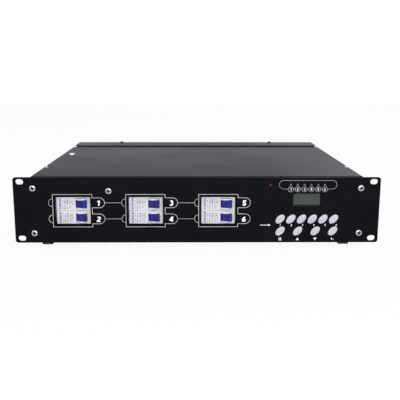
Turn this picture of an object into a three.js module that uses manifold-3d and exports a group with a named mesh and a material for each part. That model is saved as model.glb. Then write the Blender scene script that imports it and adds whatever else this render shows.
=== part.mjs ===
// Rack dimmer pack, 2U high and 19 inches wide: six channels behind six circuit breakers, a control
// board behind the front panel, and the power electronics in a folded sheet tray.
// Lengths are in millimetres. X runs to the right as seen from the front, Y to the back and Z up.

import * as THREE from "three";
import { mergeVertices } from "three/addons/utils/BufferGeometryUtils.js";
import Module from "manifold-3d";

const wasm = await Module();
wasm.setup();

// Fits and cuts
const seat = 0.3; // gap where one piece rests on another
const running = 0.3; // gap round a piece that moves
const sunk = 0.5; // how far the features of one piece reach into each other
const overrun = 2; // how far a cut runs past what it cuts
const gridPerUnit = 1024; // corners sit on this fine grid, so that level faces are truly level

// Counts
const columns = 3;
const breakersPerColumn = 2;
const channels = columns * breakersPerColumn;
const menuKeys = ["menu_button", "up_button", "down_button", "back_button"];

// Steps on curves
const cornerSteps = 2;
const slotSteps = 4;
const ventSteps = 2;
const fineSides = 14;
const plainSides = 10;
const smallSides = 8;
const hiddenSides = 6;
const ovalSides = 14;
const bladeSteps = 4;

// Feet and case
const foot = {
  height: 9,
  side: 14.2,
  wellRadius: 3.5,
  wellDepth: 3,
  insetLeft: 16,
  insetRight: 19.6,
  setback: 24.8,
};
const tray = {
  width: 440,
  depth: 386.7,
  height: 84.7,
  sheet: 1.2,
  sideFlange: 20,
  frontFlange: 14,
  rearFlange: 14,
};
const vent = { count: 10, length: 42, width: 3.5, pitch: 14, rise: 40, frontSetback: 150 };
const cover = { thickness: 1.2, setback: 12, sideDrop: 12, sideGap: 0.5 };
const serviceCover = { depth: 53, thickness: 1.2, overlap: 8 };
const coverBolt = {
  headRadius: 4.75,
  headHeight: 3.2,
  crown: 1,
  socketRadius: 2.3,
  socketDepth: 1.8,
  shankRadius: 2.5,
  shankLength: 12,
  inset: 16,
  setback: 218.7,
};

// Front panel
const panel = { width: 482.6, height: 88.1, thickness: 3, corner: 3.5, drop: 0.8 };
const rackSlot = { length: 10.3, width: 7.2, spanX: 465.1, spanZ: 76.2 };
const windowCut = { width: 50, height: 41, corner: 1, trayMargin: 1 };
const panelScrew = {
  headRadius: 4.35,
  headHeight: 2.7,
  crown: 1,
  shankRadius: 2,
  shankLength: 8,
  crossLength: 4.6,
  crossWidth: 0.9,
  crossDepth: 1.6,
  inset: 4.8,
};
const controls = { width: 107, height: 76, inset: 74.5, corner: 2 };
const boardStud = { radius: 2.5, inset: 4, spanZ: 54 };

// Heights on the front panel, as shares of its height
const heightShares = {
  bank: 0.4835,
  controls: 0.5,
  channelRow: 0.3632,
  menuRow: 0.1782,
  display: 0.6498,
  lightRow: 0.8865,
  statusLight: 0.882,
  lowScrew: 0.1532,
  highScrew: 0.8388,
  middleScrew: 0.798,
};

// Circuit breakers, lying on their side, and the rails that they clip to
const breaker = {
  length: 86,
  noseLength: 45,
  noseDepth: 16,
  noseSetback: 6,
  thickness: 17.9,
  pitch: 18.2,
  gap: 10,
  margin: 12.8,
  railDepth: 60,
  hookDepth: 6,
  hookLip: 1.3,
  edge: 1.2,
  shoulderEdge: 2.5,
  wellRadius: 3,
  wellDepth: 8,
  wellInset: 8,
};
const lever = {
  offset: 10.6,
  pivotDepth: 7,
  drumRadius: 9.6,
  pocketGap: 0.6,
  width: 9.9,
  axleRadius: 1.5,
  axleReach: 2,
  cheekHeight: 3.6,
  cheekThickness: 2.6,
  rootHalfWidth: 3.5,
  tipHalfWidth: 2.3,
  tipRadius: 13.4,
  restAngle: (24 * Math.PI) / 180,
};
const rail = { width: 35, depth: 7.5, webWidth: 25, sheet: 1, overhang: 2 };
const bracket = { sheet: 1.5, footDepth: 16, topDepth: 8, overhang: 3, sideReach: 2 };

// Control board and what it carries
const button = {
  major: 7.45,
  minor: 4.6,
  tilt: Math.PI / 4,
  proud: 1.3,
  crown: 0.7,
  collarReach: 0.6,
  collarThickness: 1,
  stemRadius: 2.5,
  stemLength: 1.7,
  travel: 0.8,
  channelPitch: 14.2,
  menuPitch: 23.4,
};
const crownShares = [
  [0, 0],
  [0.7, 0.25],
  [1, 1],
];
const keySwitch = { size: 6, bodyDepth: 3.5, stemRadius: 1.75, stemLength: 1.4 };
const board = { thickness: 1.6, margin: 1.5, chipLength: 35, chipWidth: 9, chipDepth: 4 };
const display = {
  width: 36.8,
  height: 18.3,
  offset: -0.6,
  lensMargin: 2,
  lensThickness: 1.2,
  moduleMargin: 3.8,
  bezel: 1,
};
const light = { radius: 1.5, proud: 0.6, pitch: 8.94, barHeight: 5, barMargin: 4 };
const statusLight = { offset: -49.4, collarRadius: 2.3, collarDepth: 1 };

// Rear wall
const mainsGland = {
  thread: 16,
  flats: 36,
  flatsDepth: 6,
  domeRadius: 16.5,
  domeDepth: 16,
  mouthRadius: 10,
  bore: 8,
  threadReach: 10,
  nutDepth: 5,
};
const outputGland = {
  thread: 12.5,
  flats: 30,
  flatsDepth: 5,
  domeRadius: 13.5,
  domeDepth: 13,
  mouthRadius: 8,
  bore: 6,
  threadReach: 9,
  nutDepth: 4.5,
};
const glandRise = 50;
const mainsGlandInset = 35;
const outputGlandInset = 90;
const outputGlandPitch = 55;
const socket = {
  flangeWidth: 26,
  flangeHeight: 31,
  flangeThickness: 2,
  flangeCorner: 2.5,
  shellRadius: 11.8,
  shellDepth: 18,
  cupRadius: 8.9,
  cupDepth: 15,
  coreRadius: 7.4,
  contactCircle: 4.4,
  pinRadius: 1.2,
  pinLength: 12,
  holeRadius: 1.4,
  screwRadius: 1.6,
  screwSpanX: 19,
  screwSpanZ: 24,
  contacts: 3,
  rise: 40,
  inletInset: 265,
  pitch: 40,
};
const latch = { width: 8, height: 3.6, depth: 3, offset: 12.2, travel: 1 };
const fan = {
  size: 60,
  depth: 25,
  corner: 4,
  flange: 3.5,
  ductRadius: 28.5,
  wall: 1.3,
  screwSpan: 50,
  screwRadius: 2.2,
  armWidth: 3,
  armDepth: 3,
  arms: 4,
  motorRadius: 14,
  motorDepth: 4,
  postRadius: 3,
  postLength: 10,
  hubRadius: 14,
  hubDepth: 16,
  blades: 7,
  bladeChord: 17,
  bladeThickness: 1.4,
  bladePitch: (38 * Math.PI) / 180,
  tipGap: 1,
  inset: 55,
  rise: 43,
};
const grille = { rings: 4, innerRadius: 8.5, pitch: 6, width: 3.5, arcs: 3, bridge: 4, steps: 3 };
const earthStud = {
  radius: 3,
  flats: 10,
  nutDepth: 5,
  outerReach: 14,
  innerReach: 8,
  inset: 12,
  rise: 16,
};

// Inside the tray
const sink = {
  left: 118,
  width: 86,
  depth: 140,
  height: 62,
  base: 4,
  spine: 4,
  fin: 2,
  fins: 7,
  fanGap: 18,
};
const powerBoard = {
  width: 170,
  depth: 200,
  thickness: 1.6,
  standoff: 8,
  standoffRadius: 3,
  standoffInset: 6,
  deviceLength: 16,
  deviceThickness: 5,
  deviceHeight: 21,
  devicePitch: 22,
  fuseLength: 22,
  fuseRadius: 3.2,
  fuseRise: 5,
  clipWidth: 4,
  capRadius: 9,
  capHeight: 26,
  rowInset: 40,
  capInset: 28,
  rearGap: 8,
};
const transformer = {
  length: 54,
  depth: 18,
  height: 45,
  bobbinLength: 36,
  bobbinDepth: 36,
  bobbinHeight: 30,
  footLength: 68,
  footDepth: 22,
  footSheet: 1.5,
  inset: 75,
  setback: 110,
};
const chokes = {
  outerRadius: 26,
  innerRadius: 12,
  height: 22,
  edge: 5,
  pitch: 58,
  carrierThickness: 2,
  margin: 6,
  across: 2,
  along: 3,
  inset: 12,
  setback: 118,
};
const terminals = {
  poles: 14,
  pitch: 14,
  depth: 26,
  base: 12,
  barrier: 1.8,
  height: 20,
  inset: 75,
  rearGap: 18,
};

// Levels and planes that the pieces share
const trayBottom = foot.height;
const floorTop = trayBottom + tray.sheet;
const innerFloor = floorTop + seat;
const trayTop = trayBottom + tray.height;
const coverBottom = trayTop + seat;
const coverTop = coverBottom + cover.thickness;
const stripBottom = coverTop + seat;
const stripTop = stripBottom + serviceCover.thickness;
const panelBottom = trayBottom - panel.drop;
const panelMiddle = panelBottom + panel.height / 2;
const trayFront = panel.thickness + seat;
const trayBack = trayFront + tray.depth;
const rearInside = trayBack - tray.sheet;
const trayHalf = tray.width / 2;
const trayMiddle = trayBottom + tray.height / 2;
const stripFront = trayBack - serviceCover.depth;

// Places on the front panel
const onPanel = (share) => panelBottom + panel.height * share;
const bankMiddle = onPanel(heightShares.bank);
const controlsX = trayHalf - controls.inset;
const controlsMiddle = onPanel(heightShares.controls);
const columnPitch = breaker.length + breaker.gap;
const columnX = (column) => breaker.margin - trayHalf + breaker.length / 2 + column * columnPitch;
const rowZ = (row) => bankMiddle + ((breakersPerColumn - 1) / 2 - row) * breaker.pitch;
const channelX = (i) => controlsX + (i - (channels - 1) / 2) * button.channelPitch;
const menuX = (i) => controlsX + (i - (menuKeys.length - 1) / 2) * button.menuPitch;
const lightX = (i) => controlsX + (i - (channels - 1) / 2) * light.pitch;
const displayX = controlsX + display.offset;
const panelScrewPlaces = [
  [panelScrew.inset - trayHalf, onPanel(heightShares.highScrew)],
  [panelScrew.inset - trayHalf, onPanel(heightShares.lowScrew)],
  [trayHalf - panelScrew.inset, onPanel(heightShares.highScrew)],
  [trayHalf - panelScrew.inset, onPanel(heightShares.lowScrew)],
  [(columnX(0) + columnX(1)) / 2, onPanel(heightShares.middleScrew)],
];

// Planes behind the front panel, from front to back
const behindPanel = panel.thickness + seat;
const buttonBack = behindPanel + button.collarThickness + button.stemLength;
const switchFront = buttonBack + button.travel + seat;
const boardFront = switchFront + keySwitch.stemLength + keySwitch.bodyDepth;
const moduleFront = behindPanel + display.lensThickness + seat;
const noseFace = breaker.noseSetback;
const railFace = noseFace + breaker.railDepth + seat;
const bracketFront = railFace + rail.depth + seat;

// Finishes
const finish = (color, roughness, metalness) =>
  new THREE.MeshStandardMaterial({ color, roughness, metalness });
const blackPaint = finish(0x15141a, 0.55, 0.1);
const coverPaint = finish(0x55555c, 0.5, 0.2);
const whitePlastic = finish(0xe6e6ea, 0.4, 0);
const bluePlastic = finish(0x443ca0, 0.4, 0);
const buttonPlastic = finish(0xdadae2, 0.45, 0);
const blackPlastic = finish(0x1c1c1e, 0.6, 0);
const rubber = finish(0x141414, 0.9, 0);
const zincSteel = finish(0xb8bac0, 0.35, 0.9);
const aluminium = finish(0xc4c6c8, 0.4, 0.9);
const boardGreen = finish(0x2c5a38, 0.6, 0);
const displayGlass = finish(0x55625c, 0.2, 0);
const moduleGrey = finish(0x3a3f3d, 0.5, 0.2);
const lightWhite = finish(0xd8d8d2, 0.3, 0);
const lightRed = finish(0x8a2030, 0.3, 0);
const woundBrown = finish(0x8a4a22, 0.5, 0.4);
const nickel = finish(0x9a9a98, 0.3, 0.9);

// Outlines, as lists of points in a plane
const point = (x, y) => new THREE.Vector2(x, y);
const points = (pairs) => pairs.map(([x, y]) => point(x, y));
const quarterTurn = Math.PI / 2;

function arc(centreX, centreY, radius, start, end, steps) {
  const list = [];
  for (let i = 0; i <= steps; i += 1) {
    const angle = start + ((end - start) * i) / steps;
    list.push(point(centreX + radius * Math.cos(angle), centreY + radius * Math.sin(angle)));
  }
  return list;
}

function circle(centreX, centreY, radius, sides) {
  return arc(centreX, centreY, radius, 0, 2 * Math.PI, sides).slice(0, sides);
}

function rectangle(centreX, centreY, width, height) {
  const x = width / 2;
  const y = height / 2;
  return points([
    [centreX - x, centreY - y],
    [centreX + x, centreY - y],
    [centreX + x, centreY + y],
    [centreX - x, centreY + y],
  ]);
}

function roundedRectangle(centreX, centreY, width, height, radius) {
  const reachX = width / 2 - radius;
  const reachY = height / 2 - radius;
  const sides = [
    [1, 1],
    [-1, 1],
    [-1, -1],
    [1, -1],
  ];
  return sides.flatMap(([signX, signY], i) =>
    arc(
      centreX + signX * reachX,
      centreY + signY * reachY,
      radius,
      i * quarterTurn,
      (i + 1) * quarterTurn,
      cornerSteps,
    ),
  );
}

// A slot with round ends, its long way across, or up when upright
function slot(centreX, centreY, length, width, upright, steps) {
  const radius = width / 2;
  const reach = length / 2 - radius;
  const right = arc(reach, 0, radius, -quarterTurn, quarterTurn, steps);
  const left = arc(-reach, 0, radius, quarterTurn, 3 * quarterTurn, steps);
  return [...right, ...left].map((p) =>
    upright ? point(centreX - p.y, centreY + p.x) : point(centreX + p.x, centreY + p.y),
  );
}

// An ellipse whose long axis leans by the angle tilt
function oval(centreX, centreY, major, minor, tilt) {
  return circle(0, 0, 1, ovalSides).map((p) => {
    const along = p.x * major;
    const across = p.y * minor;
    return point(
      centreX + along * Math.cos(tilt) - across * Math.sin(tilt),
      centreY + along * Math.sin(tilt) + across * Math.cos(tilt),
    );
  });
}

// A hexagon measured across its flats
function hexagon(centreX, centreY, flats) {
  return circle(centreX, centreY, flats / Math.sqrt(3), 6);
}

// A curved slot round a centre
function arcSlot(centreX, centreY, radius, width, start, end, steps) {
  const outer = arc(centreX, centreY, radius + width / 2, start, end, steps);
  const inner = arc(centreX, centreY, radius - width / 2, end, start, steps);
  return [...outer, ...inner];
}

// Solids
function toSolid(geometry) {
  geometry.deleteAttribute("normal");
  geometry.deleteAttribute("uv");
  const places = geometry.attributes.position.array;
  places.forEach((place, i) => {
    places[i] = Math.round(place * gridPerUnit) / gridPerUnit;
  });
  const merged = mergeVertices(geometry, 1 / gridPerUnit / 2);
  const corners = merged.index.array;
  const kept = [];
  for (let i = 0; i < corners.length; i += 3) {
    const [a, b, c] = corners.slice(i, i + 3);
    if (a !== b && b !== c && c !== a) kept.push(a, b, c);
  }
  const mesh = new wasm.Mesh({
    numProp: 3,
    vertProperties: merged.attributes.position.array,
    triVerts: Uint32Array.from(kept),
  });
  return new wasm.Manifold(mesh);
}

function toGeometry(solid) {
  const mesh = solid.getMesh();
  const geometry = new THREE.BufferGeometry();
  geometry.setAttribute("position", new THREE.BufferAttribute(mesh.vertProperties, 3));
  geometry.setIndex(new THREE.BufferAttribute(mesh.triVerts, 1));
  geometry.computeVertexNormals();
  return geometry;
}

function extruded(outline, depth) {
  const shape = new THREE.Shape(outline);
  return new THREE.ExtrudeGeometry(shape, { depth, bevelEnabled: false, curveSegments: 1 });
}

// Holes are cut through by the same carry, run past both ends
function pierced(solid, holes, carry, from, to) {
  if (holes.length === 0) return solid;
  return cut(solid, holes.map((hole) => carry(hole, from - overrun, to + overrun)));
}

// An outline in X and Y carried up from one height to another
function alongZ(outline, from, to, holes = []) {
  const solid = toSolid(extruded(outline, to - from).translate(0, 0, from));
  return pierced(solid, holes, alongZ, from, to);
}

// An outline in X and Z carried back from one plane to another
function alongY(outline, from, to, holes = []) {
  const solid = toSolid(extruded(outline, to - from).rotateX(quarterTurn).translate(0, to, 0));
  return pierced(solid, holes, alongY, from, to);
}

// An outline in Y and Z carried across from one plane to another
function alongX(outline, from, to) {
  const turned = new THREE.Matrix4().set(0, 0, 1, 0, 1, 0, 0, 0, 0, 1, 0, 0, 0, 0, 0, 1);
  return toSolid(extruded(outline, to - from).applyMatrix4(turned).translate(from, 0, 0));
}

function block([x0, x1], [y0, y1], [z0, z1]) {
  const geometry = new THREE.BoxGeometry(x1 - x0, y1 - y0, z1 - z0);
  return toSolid(geometry.translate((x0 + x1) / 2, (y0 + y1) / 2, (z0 + z1) / 2));
}

const rodY = (x, z, radius, from, to, sides) => alongY(circle(x, z, radius, sides), from, to);
const rodZ = (x, y, radius, from, to, sides) => alongZ(circle(x, y, radius, sides), from, to);

// The lathe takes pairs of radius and place along its axis; a profile off the axis is closed
function lathe(profile, sides) {
  const list = points(profile);
  if (list[0].x > 0) list.push(list[0].clone());
  const area = list.reduce((sum, p, i) => {
    const next = list[(i + 1) % list.length];
    return sum + p.x * next.y - next.x * p.y;
  }, 0);
  if (area < 0) list.reverse();
  return new THREE.LatheGeometry(list, sides);
}

const turnedY = (x, z, profile, sides) => toSolid(lathe(profile, sides).translate(x, 0, z));
const turnedZ = (x, y, profile, sides) =>
  toSolid(lathe(profile, sides).rotateX(quarterTurn).translate(x, y, 0));

const join = (solids) => wasm.Manifold.union(solids);
const cut = (solid, tools) => solid.subtract(join(tools));

const dimmer = new THREE.Group();
function add(name, solid, material) {
  const mesh = new THREE.Mesh(toGeometry(solid), material);
  mesh.name = name;
  dimmer.add(mesh);
}

// Places on the rear wall
const rearZ = (rise) => trayBottom + rise;
const mainsGlandPlace = [mainsGlandInset - trayHalf, rearZ(glandRise)];
const outputGlandPlace = (i) => [
  outputGlandInset - trayHalf + i * outputGlandPitch,
  rearZ(glandRise),
];
const inletPlace = [socket.inletInset - trayHalf, rearZ(socket.rise)];
const outletPlace = [inletPlace[0] + socket.pitch, rearZ(socket.rise)];
const fanPlace = [trayHalf - fan.inset, rearZ(fan.rise)];
const earthPlace = [earthStud.inset - trayHalf, rearZ(earthStud.rise)];

// Chassis tray: a folded channel with an inner front wall, a rear wall and lips for the covers
function grilleSlots() {
  const list = [];
  for (let ring = 0; ring < grille.rings; ring += 1) {
    const radius = grille.innerRadius + ring * grille.pitch;
    const half = Math.PI / grille.arcs - grille.bridge / 2 / radius;
    for (let i = 0; i < grille.arcs; i += 1) {
      const middle = ((2 * i + 1) * Math.PI) / grille.arcs;
      const span = [middle - half, middle + half];
      list.push(arcSlot(...fanPlace, radius, grille.width, ...span, grille.steps));
    }
  }
  return list;
}

function frontWallHoles() {
  const margin = 2 * windowCut.trayMargin;
  const width = windowCut.width + margin;
  const height = windowCut.height + margin;
  const list = panelScrewPlaces.map((p) => circle(...p, panelScrew.shankRadius + seat, smallSides));
  for (let column = 0; column < columns; column += 1) {
    list.push(rectangle(columnX(column), bankMiddle, width, height));
  }
  const { width: cutWidth, height: cutHeight, corner } = controls;
  list.push(roundedRectangle(controlsX, controlsMiddle, cutWidth, cutHeight, corner));
  return list;
}

function rearWallHoles() {
  const outputs = Array.from({ length: columns }, (_, i) => outputGlandPlace(i));
  return [
    circle(...mainsGlandPlace, mainsGland.thread + seat, fineSides),
    ...outputs.map((place) => circle(...place, outputGland.thread + seat, fineSides)),
    circle(...inletPlace, socket.shellRadius + seat, fineSides),
    circle(...outletPlace, socket.shellRadius + seat, fineSides),
    circle(...earthPlace, earthStud.radius + seat, smallSides),
    ...grilleSlots(),
  ];
}

function makeTray() {
  const inner = trayHalf - tray.sheet;
  const lip = trayHalf - tray.sideFlange;
  const lipBottom = trayTop - tray.sheet;
  const section = points([
    [-trayHalf, trayBottom],
    [trayHalf, trayBottom],
    [trayHalf, trayTop],
    [lip, trayTop],
    [lip, lipBottom],
    [inner, lipBottom],
    [inner, floorTop],
    [-inner, floorTop],
    [-inner, lipBottom],
    [-lip, lipBottom],
    [-lip, trayTop],
    [-trayHalf, trayTop],
  ]);
  const wall = rectangle(0, trayMiddle, tray.width, tray.height);
  const across = [-trayHalf, trayHalf];
  const lipHeights = [lipBottom, trayTop];
  const folded = join([
    alongY(section, trayFront, trayBack),
    alongY(wall, trayFront, trayFront + tray.sheet, frontWallHoles()),
    alongY(wall, rearInside, trayBack, rearWallHoles()),
    block(across, [trayFront, trayFront + tray.frontFlange], lipHeights),
    block(across, [trayBack - tray.rearFlange, trayBack], lipHeights),
  ]);
  const cuts = [rodZ(...coverBoltPlace, coverBolt.shankRadius + seat, lipBottom - overrun,
    trayTop + overrun, smallSides)];
  for (let i = 0; i < vent.count; i += 1) {
    const y = trayFront + vent.frontSetback + i * vent.pitch;
    const outline = slot(y, rearZ(vent.rise), vent.length, vent.width, true, ventSteps);
    cuts.push(alongX(outline, -trayHalf - overrun, trayHalf + overrun));
  }
  return cut(folded, cuts);
}

// Covers: a lid with narrow sides, and a strip over its rear edge that opens the wiring space
const coverBoltPlace = [coverBolt.inset - trayHalf, trayFront + coverBolt.setback];

function makeTopCover() {
  const front = trayFront + cover.setback;
  const back = stripFront + serviceCover.overlap;
  const inner = trayHalf + cover.sideGap;
  const outer = inner + cover.thickness;
  const hole = circle(...coverBoltPlace, coverBolt.shankRadius + seat, smallSides);
  const outline = rectangle(0, (front + back) / 2, 2 * outer, back - front);
  const sideHeights = [coverTop - cover.sideDrop, coverTop];
  return join([
    alongZ(outline, coverBottom, coverTop, [hole]),
    block([-outer, -inner], [front, back], sideHeights),
    block([inner, outer], [front, back], sideHeights),
  ]);
}

function makeServiceCover() {
  const lipFront = stripFront + serviceCover.overlap + seat;
  const lipBack = trayBack - serviceCover.thickness;
  const inner = trayHalf - serviceCover.thickness;
  const plate = block([-trayHalf, trayHalf], [stripFront, trayBack], [stripBottom, stripTop]);
  const lips = [
    block([-trayHalf, -inner], [lipFront, trayBack], [coverBottom, stripTop]),
    block([inner, trayHalf], [lipFront, trayBack], [coverBottom, stripTop]),
    block([-trayHalf, trayHalf], [lipBack, trayBack], [coverBottom, stripTop]),
  ];
  return join([plate, ...lips]);
}

function makeCoverBolt() {
  const { headRadius, headHeight, crown, shankRadius, shankLength } = coverBolt;
  const under = coverTop + seat;
  const head = [
    [0, under],
    [headRadius, under],
    [headRadius, under + headHeight - crown],
    [headRadius - crown, under + headHeight],
    [0, under + headHeight],
  ];
  const shank = rodZ(...coverBoltPlace, shankRadius, under - shankLength, under + sunk, smallSides);
  const socketFloor = under + headHeight - coverBolt.socketDepth;
  const well = alongZ(
    hexagon(...coverBoltPlace, 2 * coverBolt.socketRadius),
    socketFloor,
    under + headHeight + overrun,
  );
  return cut(join([turnedZ(...coverBoltPlace, head, fineSides), shank]), [well]);
}

// Front panel: a flat plate with round corners, all its openings, and studs for the control board
const ovalHole = (x, z) =>
  oval(x, z, button.major + running, button.minor + running, button.tilt);

function panelHoles() {
  const list = [];
  for (const signX of [-1, 1]) {
    for (const signZ of [-1, 1]) {
      const x = (signX * rackSlot.spanX) / 2;
      const z = panelMiddle + (signZ * rackSlot.spanZ) / 2;
      list.push(slot(x, z, rackSlot.length, rackSlot.width, false, slotSteps));
    }
  }
  for (let column = 0; column < columns; column += 1) {
    const { width, height, corner } = windowCut;
    list.push(roundedRectangle(columnX(column), bankMiddle, width, height, corner));
  }
  for (let i = 0; i < channels; i += 1) {
    list.push(ovalHole(channelX(i), onPanel(heightShares.channelRow)));
    list.push(circle(lightX(i), onPanel(heightShares.lightRow), light.radius + seat, smallSides));
  }
  menuKeys.forEach((_, i) => list.push(ovalHole(menuX(i), onPanel(heightShares.menuRow))));
  const displayZ = onPanel(heightShares.display);
  list.push(rectangle(displayX, displayZ, display.width, display.height));
  const statusX = controlsX + statusLight.offset;
  const statusZ = onPanel(heightShares.statusLight);
  list.push(circle(statusX, statusZ, light.radius + seat, smallSides));
  for (const place of panelScrewPlaces) {
    list.push(circle(...place, panelScrew.shankRadius + seat, smallSides));
  }
  return list;
}

function makeFrontPanel() {
  const outline = roundedRectangle(0, panelMiddle, panel.width, panel.height, panel.corner);
  const plate = alongY(outline, 0, panel.thickness, panelHoles());
  const reachX = controls.width / 2 - board.margin - boardStud.inset;
  const lowZ = controlsMiddle - controls.height / 2 + board.margin + boardStud.inset;
  const studs = [];
  for (const x of [controlsX - reachX, controlsX + reachX]) {
    for (const z of [lowZ, lowZ + boardStud.spanZ]) {
      const from = panel.thickness - sunk;
      studs.push(rodY(x, z, boardStud.radius, from, boardFront - seat, hiddenSides));
    }
  }
  return join([plate, ...studs]);
}

function makePanelScrew([x, z]) {
  const { headRadius, headHeight, crown, crossLength, crossWidth } = panelScrew;
  const front = -seat - headHeight;
  const head = [
    [0, front],
    [headRadius - 2 * crown, front],
    [headRadius - crown / 2, front + crown],
    [headRadius, -seat],
    [0, -seat],
  ];
  const shankEnd = -seat + panelScrew.shankLength + panel.thickness;
  const crossDepths = [front - overrun, front + panelScrew.crossDepth];
  const long = [-crossLength / 2, crossLength / 2];
  const narrow = [-crossWidth / 2, crossWidth / 2];
  const shifted = ([low, high], middle) => [low + middle, high + middle];
  return cut(
    join([
      turnedY(x, z, head, plainSides),
      rodY(x, z, panelScrew.shankRadius, -seat - sunk, shankEnd, smallSides),
    ]),
    [
      block(shifted(long, x), crossDepths, shifted(narrow, z)),
      block(shifted(narrow, x), crossDepths, shifted(long, z)),
    ],
  );
}

// Circuit breaker: the stepped housing, the lever's pocket and cheeks, wells over the terminals and
// the hooks that close behind the rail
const slotHalf = lever.width / 2 + running;

function breakerOutline(x) {
  const nose = breaker.noseLength / 2;
  const body = breaker.length / 2;
  const { edge, shoulderEdge } = breaker;
  const shoulder = noseFace + breaker.noseDepth;
  const railPlane = noseFace + breaker.railDepth;
  const hookFront = railFace + rail.sheet + seat;
  const hookBack = railPlane + breaker.hookDepth;
  const recess = rail.width / 2 + seat;
  const hook = rail.width / 2 - breaker.hookLip;
  const half = [
    [nose - edge, noseFace],
    [nose, noseFace + edge],
    [nose, shoulder],
    [body - shoulderEdge, shoulder],
    [body, shoulder + shoulderEdge],
    [body, hookBack],
    [hook, hookBack],
    [hook, hookFront],
    [recess, hookFront],
    [recess, railPlane],
  ];
  const mirrored = half.map(([u, y]) => [-u, y]).reverse();
  return points([...half, ...mirrored].map(([u, y]) => [x + u, y]));
}

function makeBreakerBody(x, z) {
  const leverX = x + lever.offset;
  const leverY = noseFace + lever.pivotDepth;
  const half = breaker.thickness / 2;
  const cheekRadius = lever.pivotDepth + lever.cheekHeight;
  const pocketRadius = lever.drumRadius + lever.pocketGap;
  const cheekReach = slotHalf + lever.cheekThickness;
  const axleReach = lever.width / 2 + lever.axleReach + running;
  const housing = join([
    alongZ(breakerOutline(x), z - half, z + half),
    rodZ(leverX, leverY, cheekRadius, z - cheekReach, z + cheekReach, fineSides),
  ]);
  const pocketSpan = [leverX - pocketRadius, leverX + pocketRadius];
  const wellX = breaker.length / 2 - breaker.wellInset;
  const wellDepths = [
    noseFace + breaker.noseDepth - overrun,
    noseFace + breaker.noseDepth + breaker.wellDepth,
  ];
  return cut(housing, [
    rodZ(leverX, leverY, pocketRadius, z - slotHalf, z + slotHalf, fineSides),
    block(pocketSpan, [leverY - 2 * pocketRadius, noseFace], [z - slotHalf, z + slotHalf]),
    rodZ(leverX, leverY, lever.axleRadius + running, z - axleReach, z + axleReach, hiddenSides),
    rodY(x - wellX, z, breaker.wellRadius, ...wellDepths, hiddenSides),
    rodY(x + wellX, z, breaker.wellRadius, ...wellDepths, hiddenSides),
  ]);
}

// Breaker lever: a drum on its axle with a tapered paddle, leaning to the right at rest
function makeBreakerLever(x, z) {
  const leverX = x + lever.offset;
  const leverY = noseFace + lever.pivotDepth;
  const half = lever.width / 2;
  const axle = half + lever.axleReach;
  const tip = lever.tipRadius - lever.tipHalfWidth;
  const upright = [
    point(lever.rootHalfWidth, 0),
    point(-lever.rootHalfWidth, 0),
    ...arc(0, -tip, lever.tipHalfWidth, Math.PI, 2 * Math.PI, smallSides / 2),
  ];
  const leaning = upright.map((p) =>
    p.clone().rotateAround(point(0, 0), lever.restAngle).add(point(leverX, leverY)),
  );
  return join([
    rodZ(leverX, leverY, lever.drumRadius, z - half, z + half, fineSides),
    alongZ(leaning, z - half, z + half),
    rodZ(leverX, leverY, lever.axleRadius, z - axle, z + axle, hiddenSides),
  ]);
}

// Top-hat rail standing upright behind one column of breakers
function makeRail(x) {
  const flange = rail.width / 2;
  const web = rail.webWidth / 2;
  const back = railFace + rail.depth;
  const half = [
    [web, back],
    [web, railFace + rail.sheet],
    [flange, railFace + rail.sheet],
    [flange, railFace],
    [web - rail.sheet, railFace],
    [web - rail.sheet, back - rail.sheet],
  ];
  const mirrored = half.map(([u, y]) => [-u, y]).reverse();
  const outline = points([...half, ...mirrored].map(([u, y]) => [x + u, y]));
  const reach = (breakersPerColumn * breaker.pitch) / 2 + rail.overhang;
  return alongZ(outline, bankMiddle - reach, bankMiddle + reach);
}

// Bracket: a folded wall across the tray, with a foot and a stiffening lip
function makeBracket() {
  const back = bracketFront + bracket.sheet;
  const top = bankMiddle + (breakersPerColumn * breaker.pitch) / 2 + bracket.overhang;
  const section = points([
    [bracketFront, innerFloor],
    [bracketFront + bracket.footDepth, innerFloor],
    [bracketFront + bracket.footDepth, innerFloor + bracket.sheet],
    [back, innerFloor + bracket.sheet],
    [back, top - bracket.sheet],
    [bracketFront + bracket.topDepth, top - bracket.sheet],
    [bracketFront + bracket.topDepth, top],
    [bracketFront, top],
  ]);
  const reach = rail.width / 2 + bracket.sideReach;
  return alongX(section, columnX(0) - reach, columnX(columns - 1) + reach);
}

// Control board: switches in front, a chip and a row of contacts behind
function keyPlaces() {
  const list = [];
  for (let i = 0; i < channels; i += 1) list.push([channelX(i), onPanel(heightShares.channelRow)]);
  menuKeys.forEach((_, i) => list.push([menuX(i), onPanel(heightShares.menuRow)]));
  return list;
}

function makeControlBoard() {
  const width = controls.width - 2 * board.margin;
  const height = controls.height - 2 * board.margin;
  const back = boardFront + board.thickness;
  const plate = alongY(rectangle(controlsX, controlsMiddle, width, height), boardFront, back);
  const bodyFront = boardFront - keySwitch.bodyDepth;
  const parts = keyPlaces().flatMap(([x, z]) => [
    alongY(rectangle(x, z, keySwitch.size, keySwitch.size), bodyFront, boardFront + sunk),
    rodY(x, z, keySwitch.stemRadius, switchFront, bodyFront + sunk, hiddenSides),
  ]);
  const chip = rectangle(controlsX, controlsMiddle, board.chipLength, board.chipWidth);
  parts.push(alongY(chip, back - sunk, back + board.chipDepth));
  return join([plate, ...parts]);
}

// Display: a lens behind the panel's cut-out and the module on the board
function makeDisplayLens() {
  const width = display.width + 2 * display.lensMargin;
  const height = display.height + 2 * display.lensMargin;
  const outline = rectangle(displayX, onPanel(heightShares.display), width, height);
  return alongY(outline, behindPanel, behindPanel + display.lensThickness);
}

function makeDisplayModule() {
  const z = onPanel(heightShares.display);
  const width = display.width + 2 * display.moduleMargin;
  const height = display.height + 2 * display.moduleMargin;
  const body = alongY(rectangle(displayX, z, width, height), moduleFront, boardFront - seat);
  const face = rectangle(displayX, z, display.width, display.height);
  return cut(body, [alongY(face, moduleFront - overrun, moduleFront + display.bezel)]);
}

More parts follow.
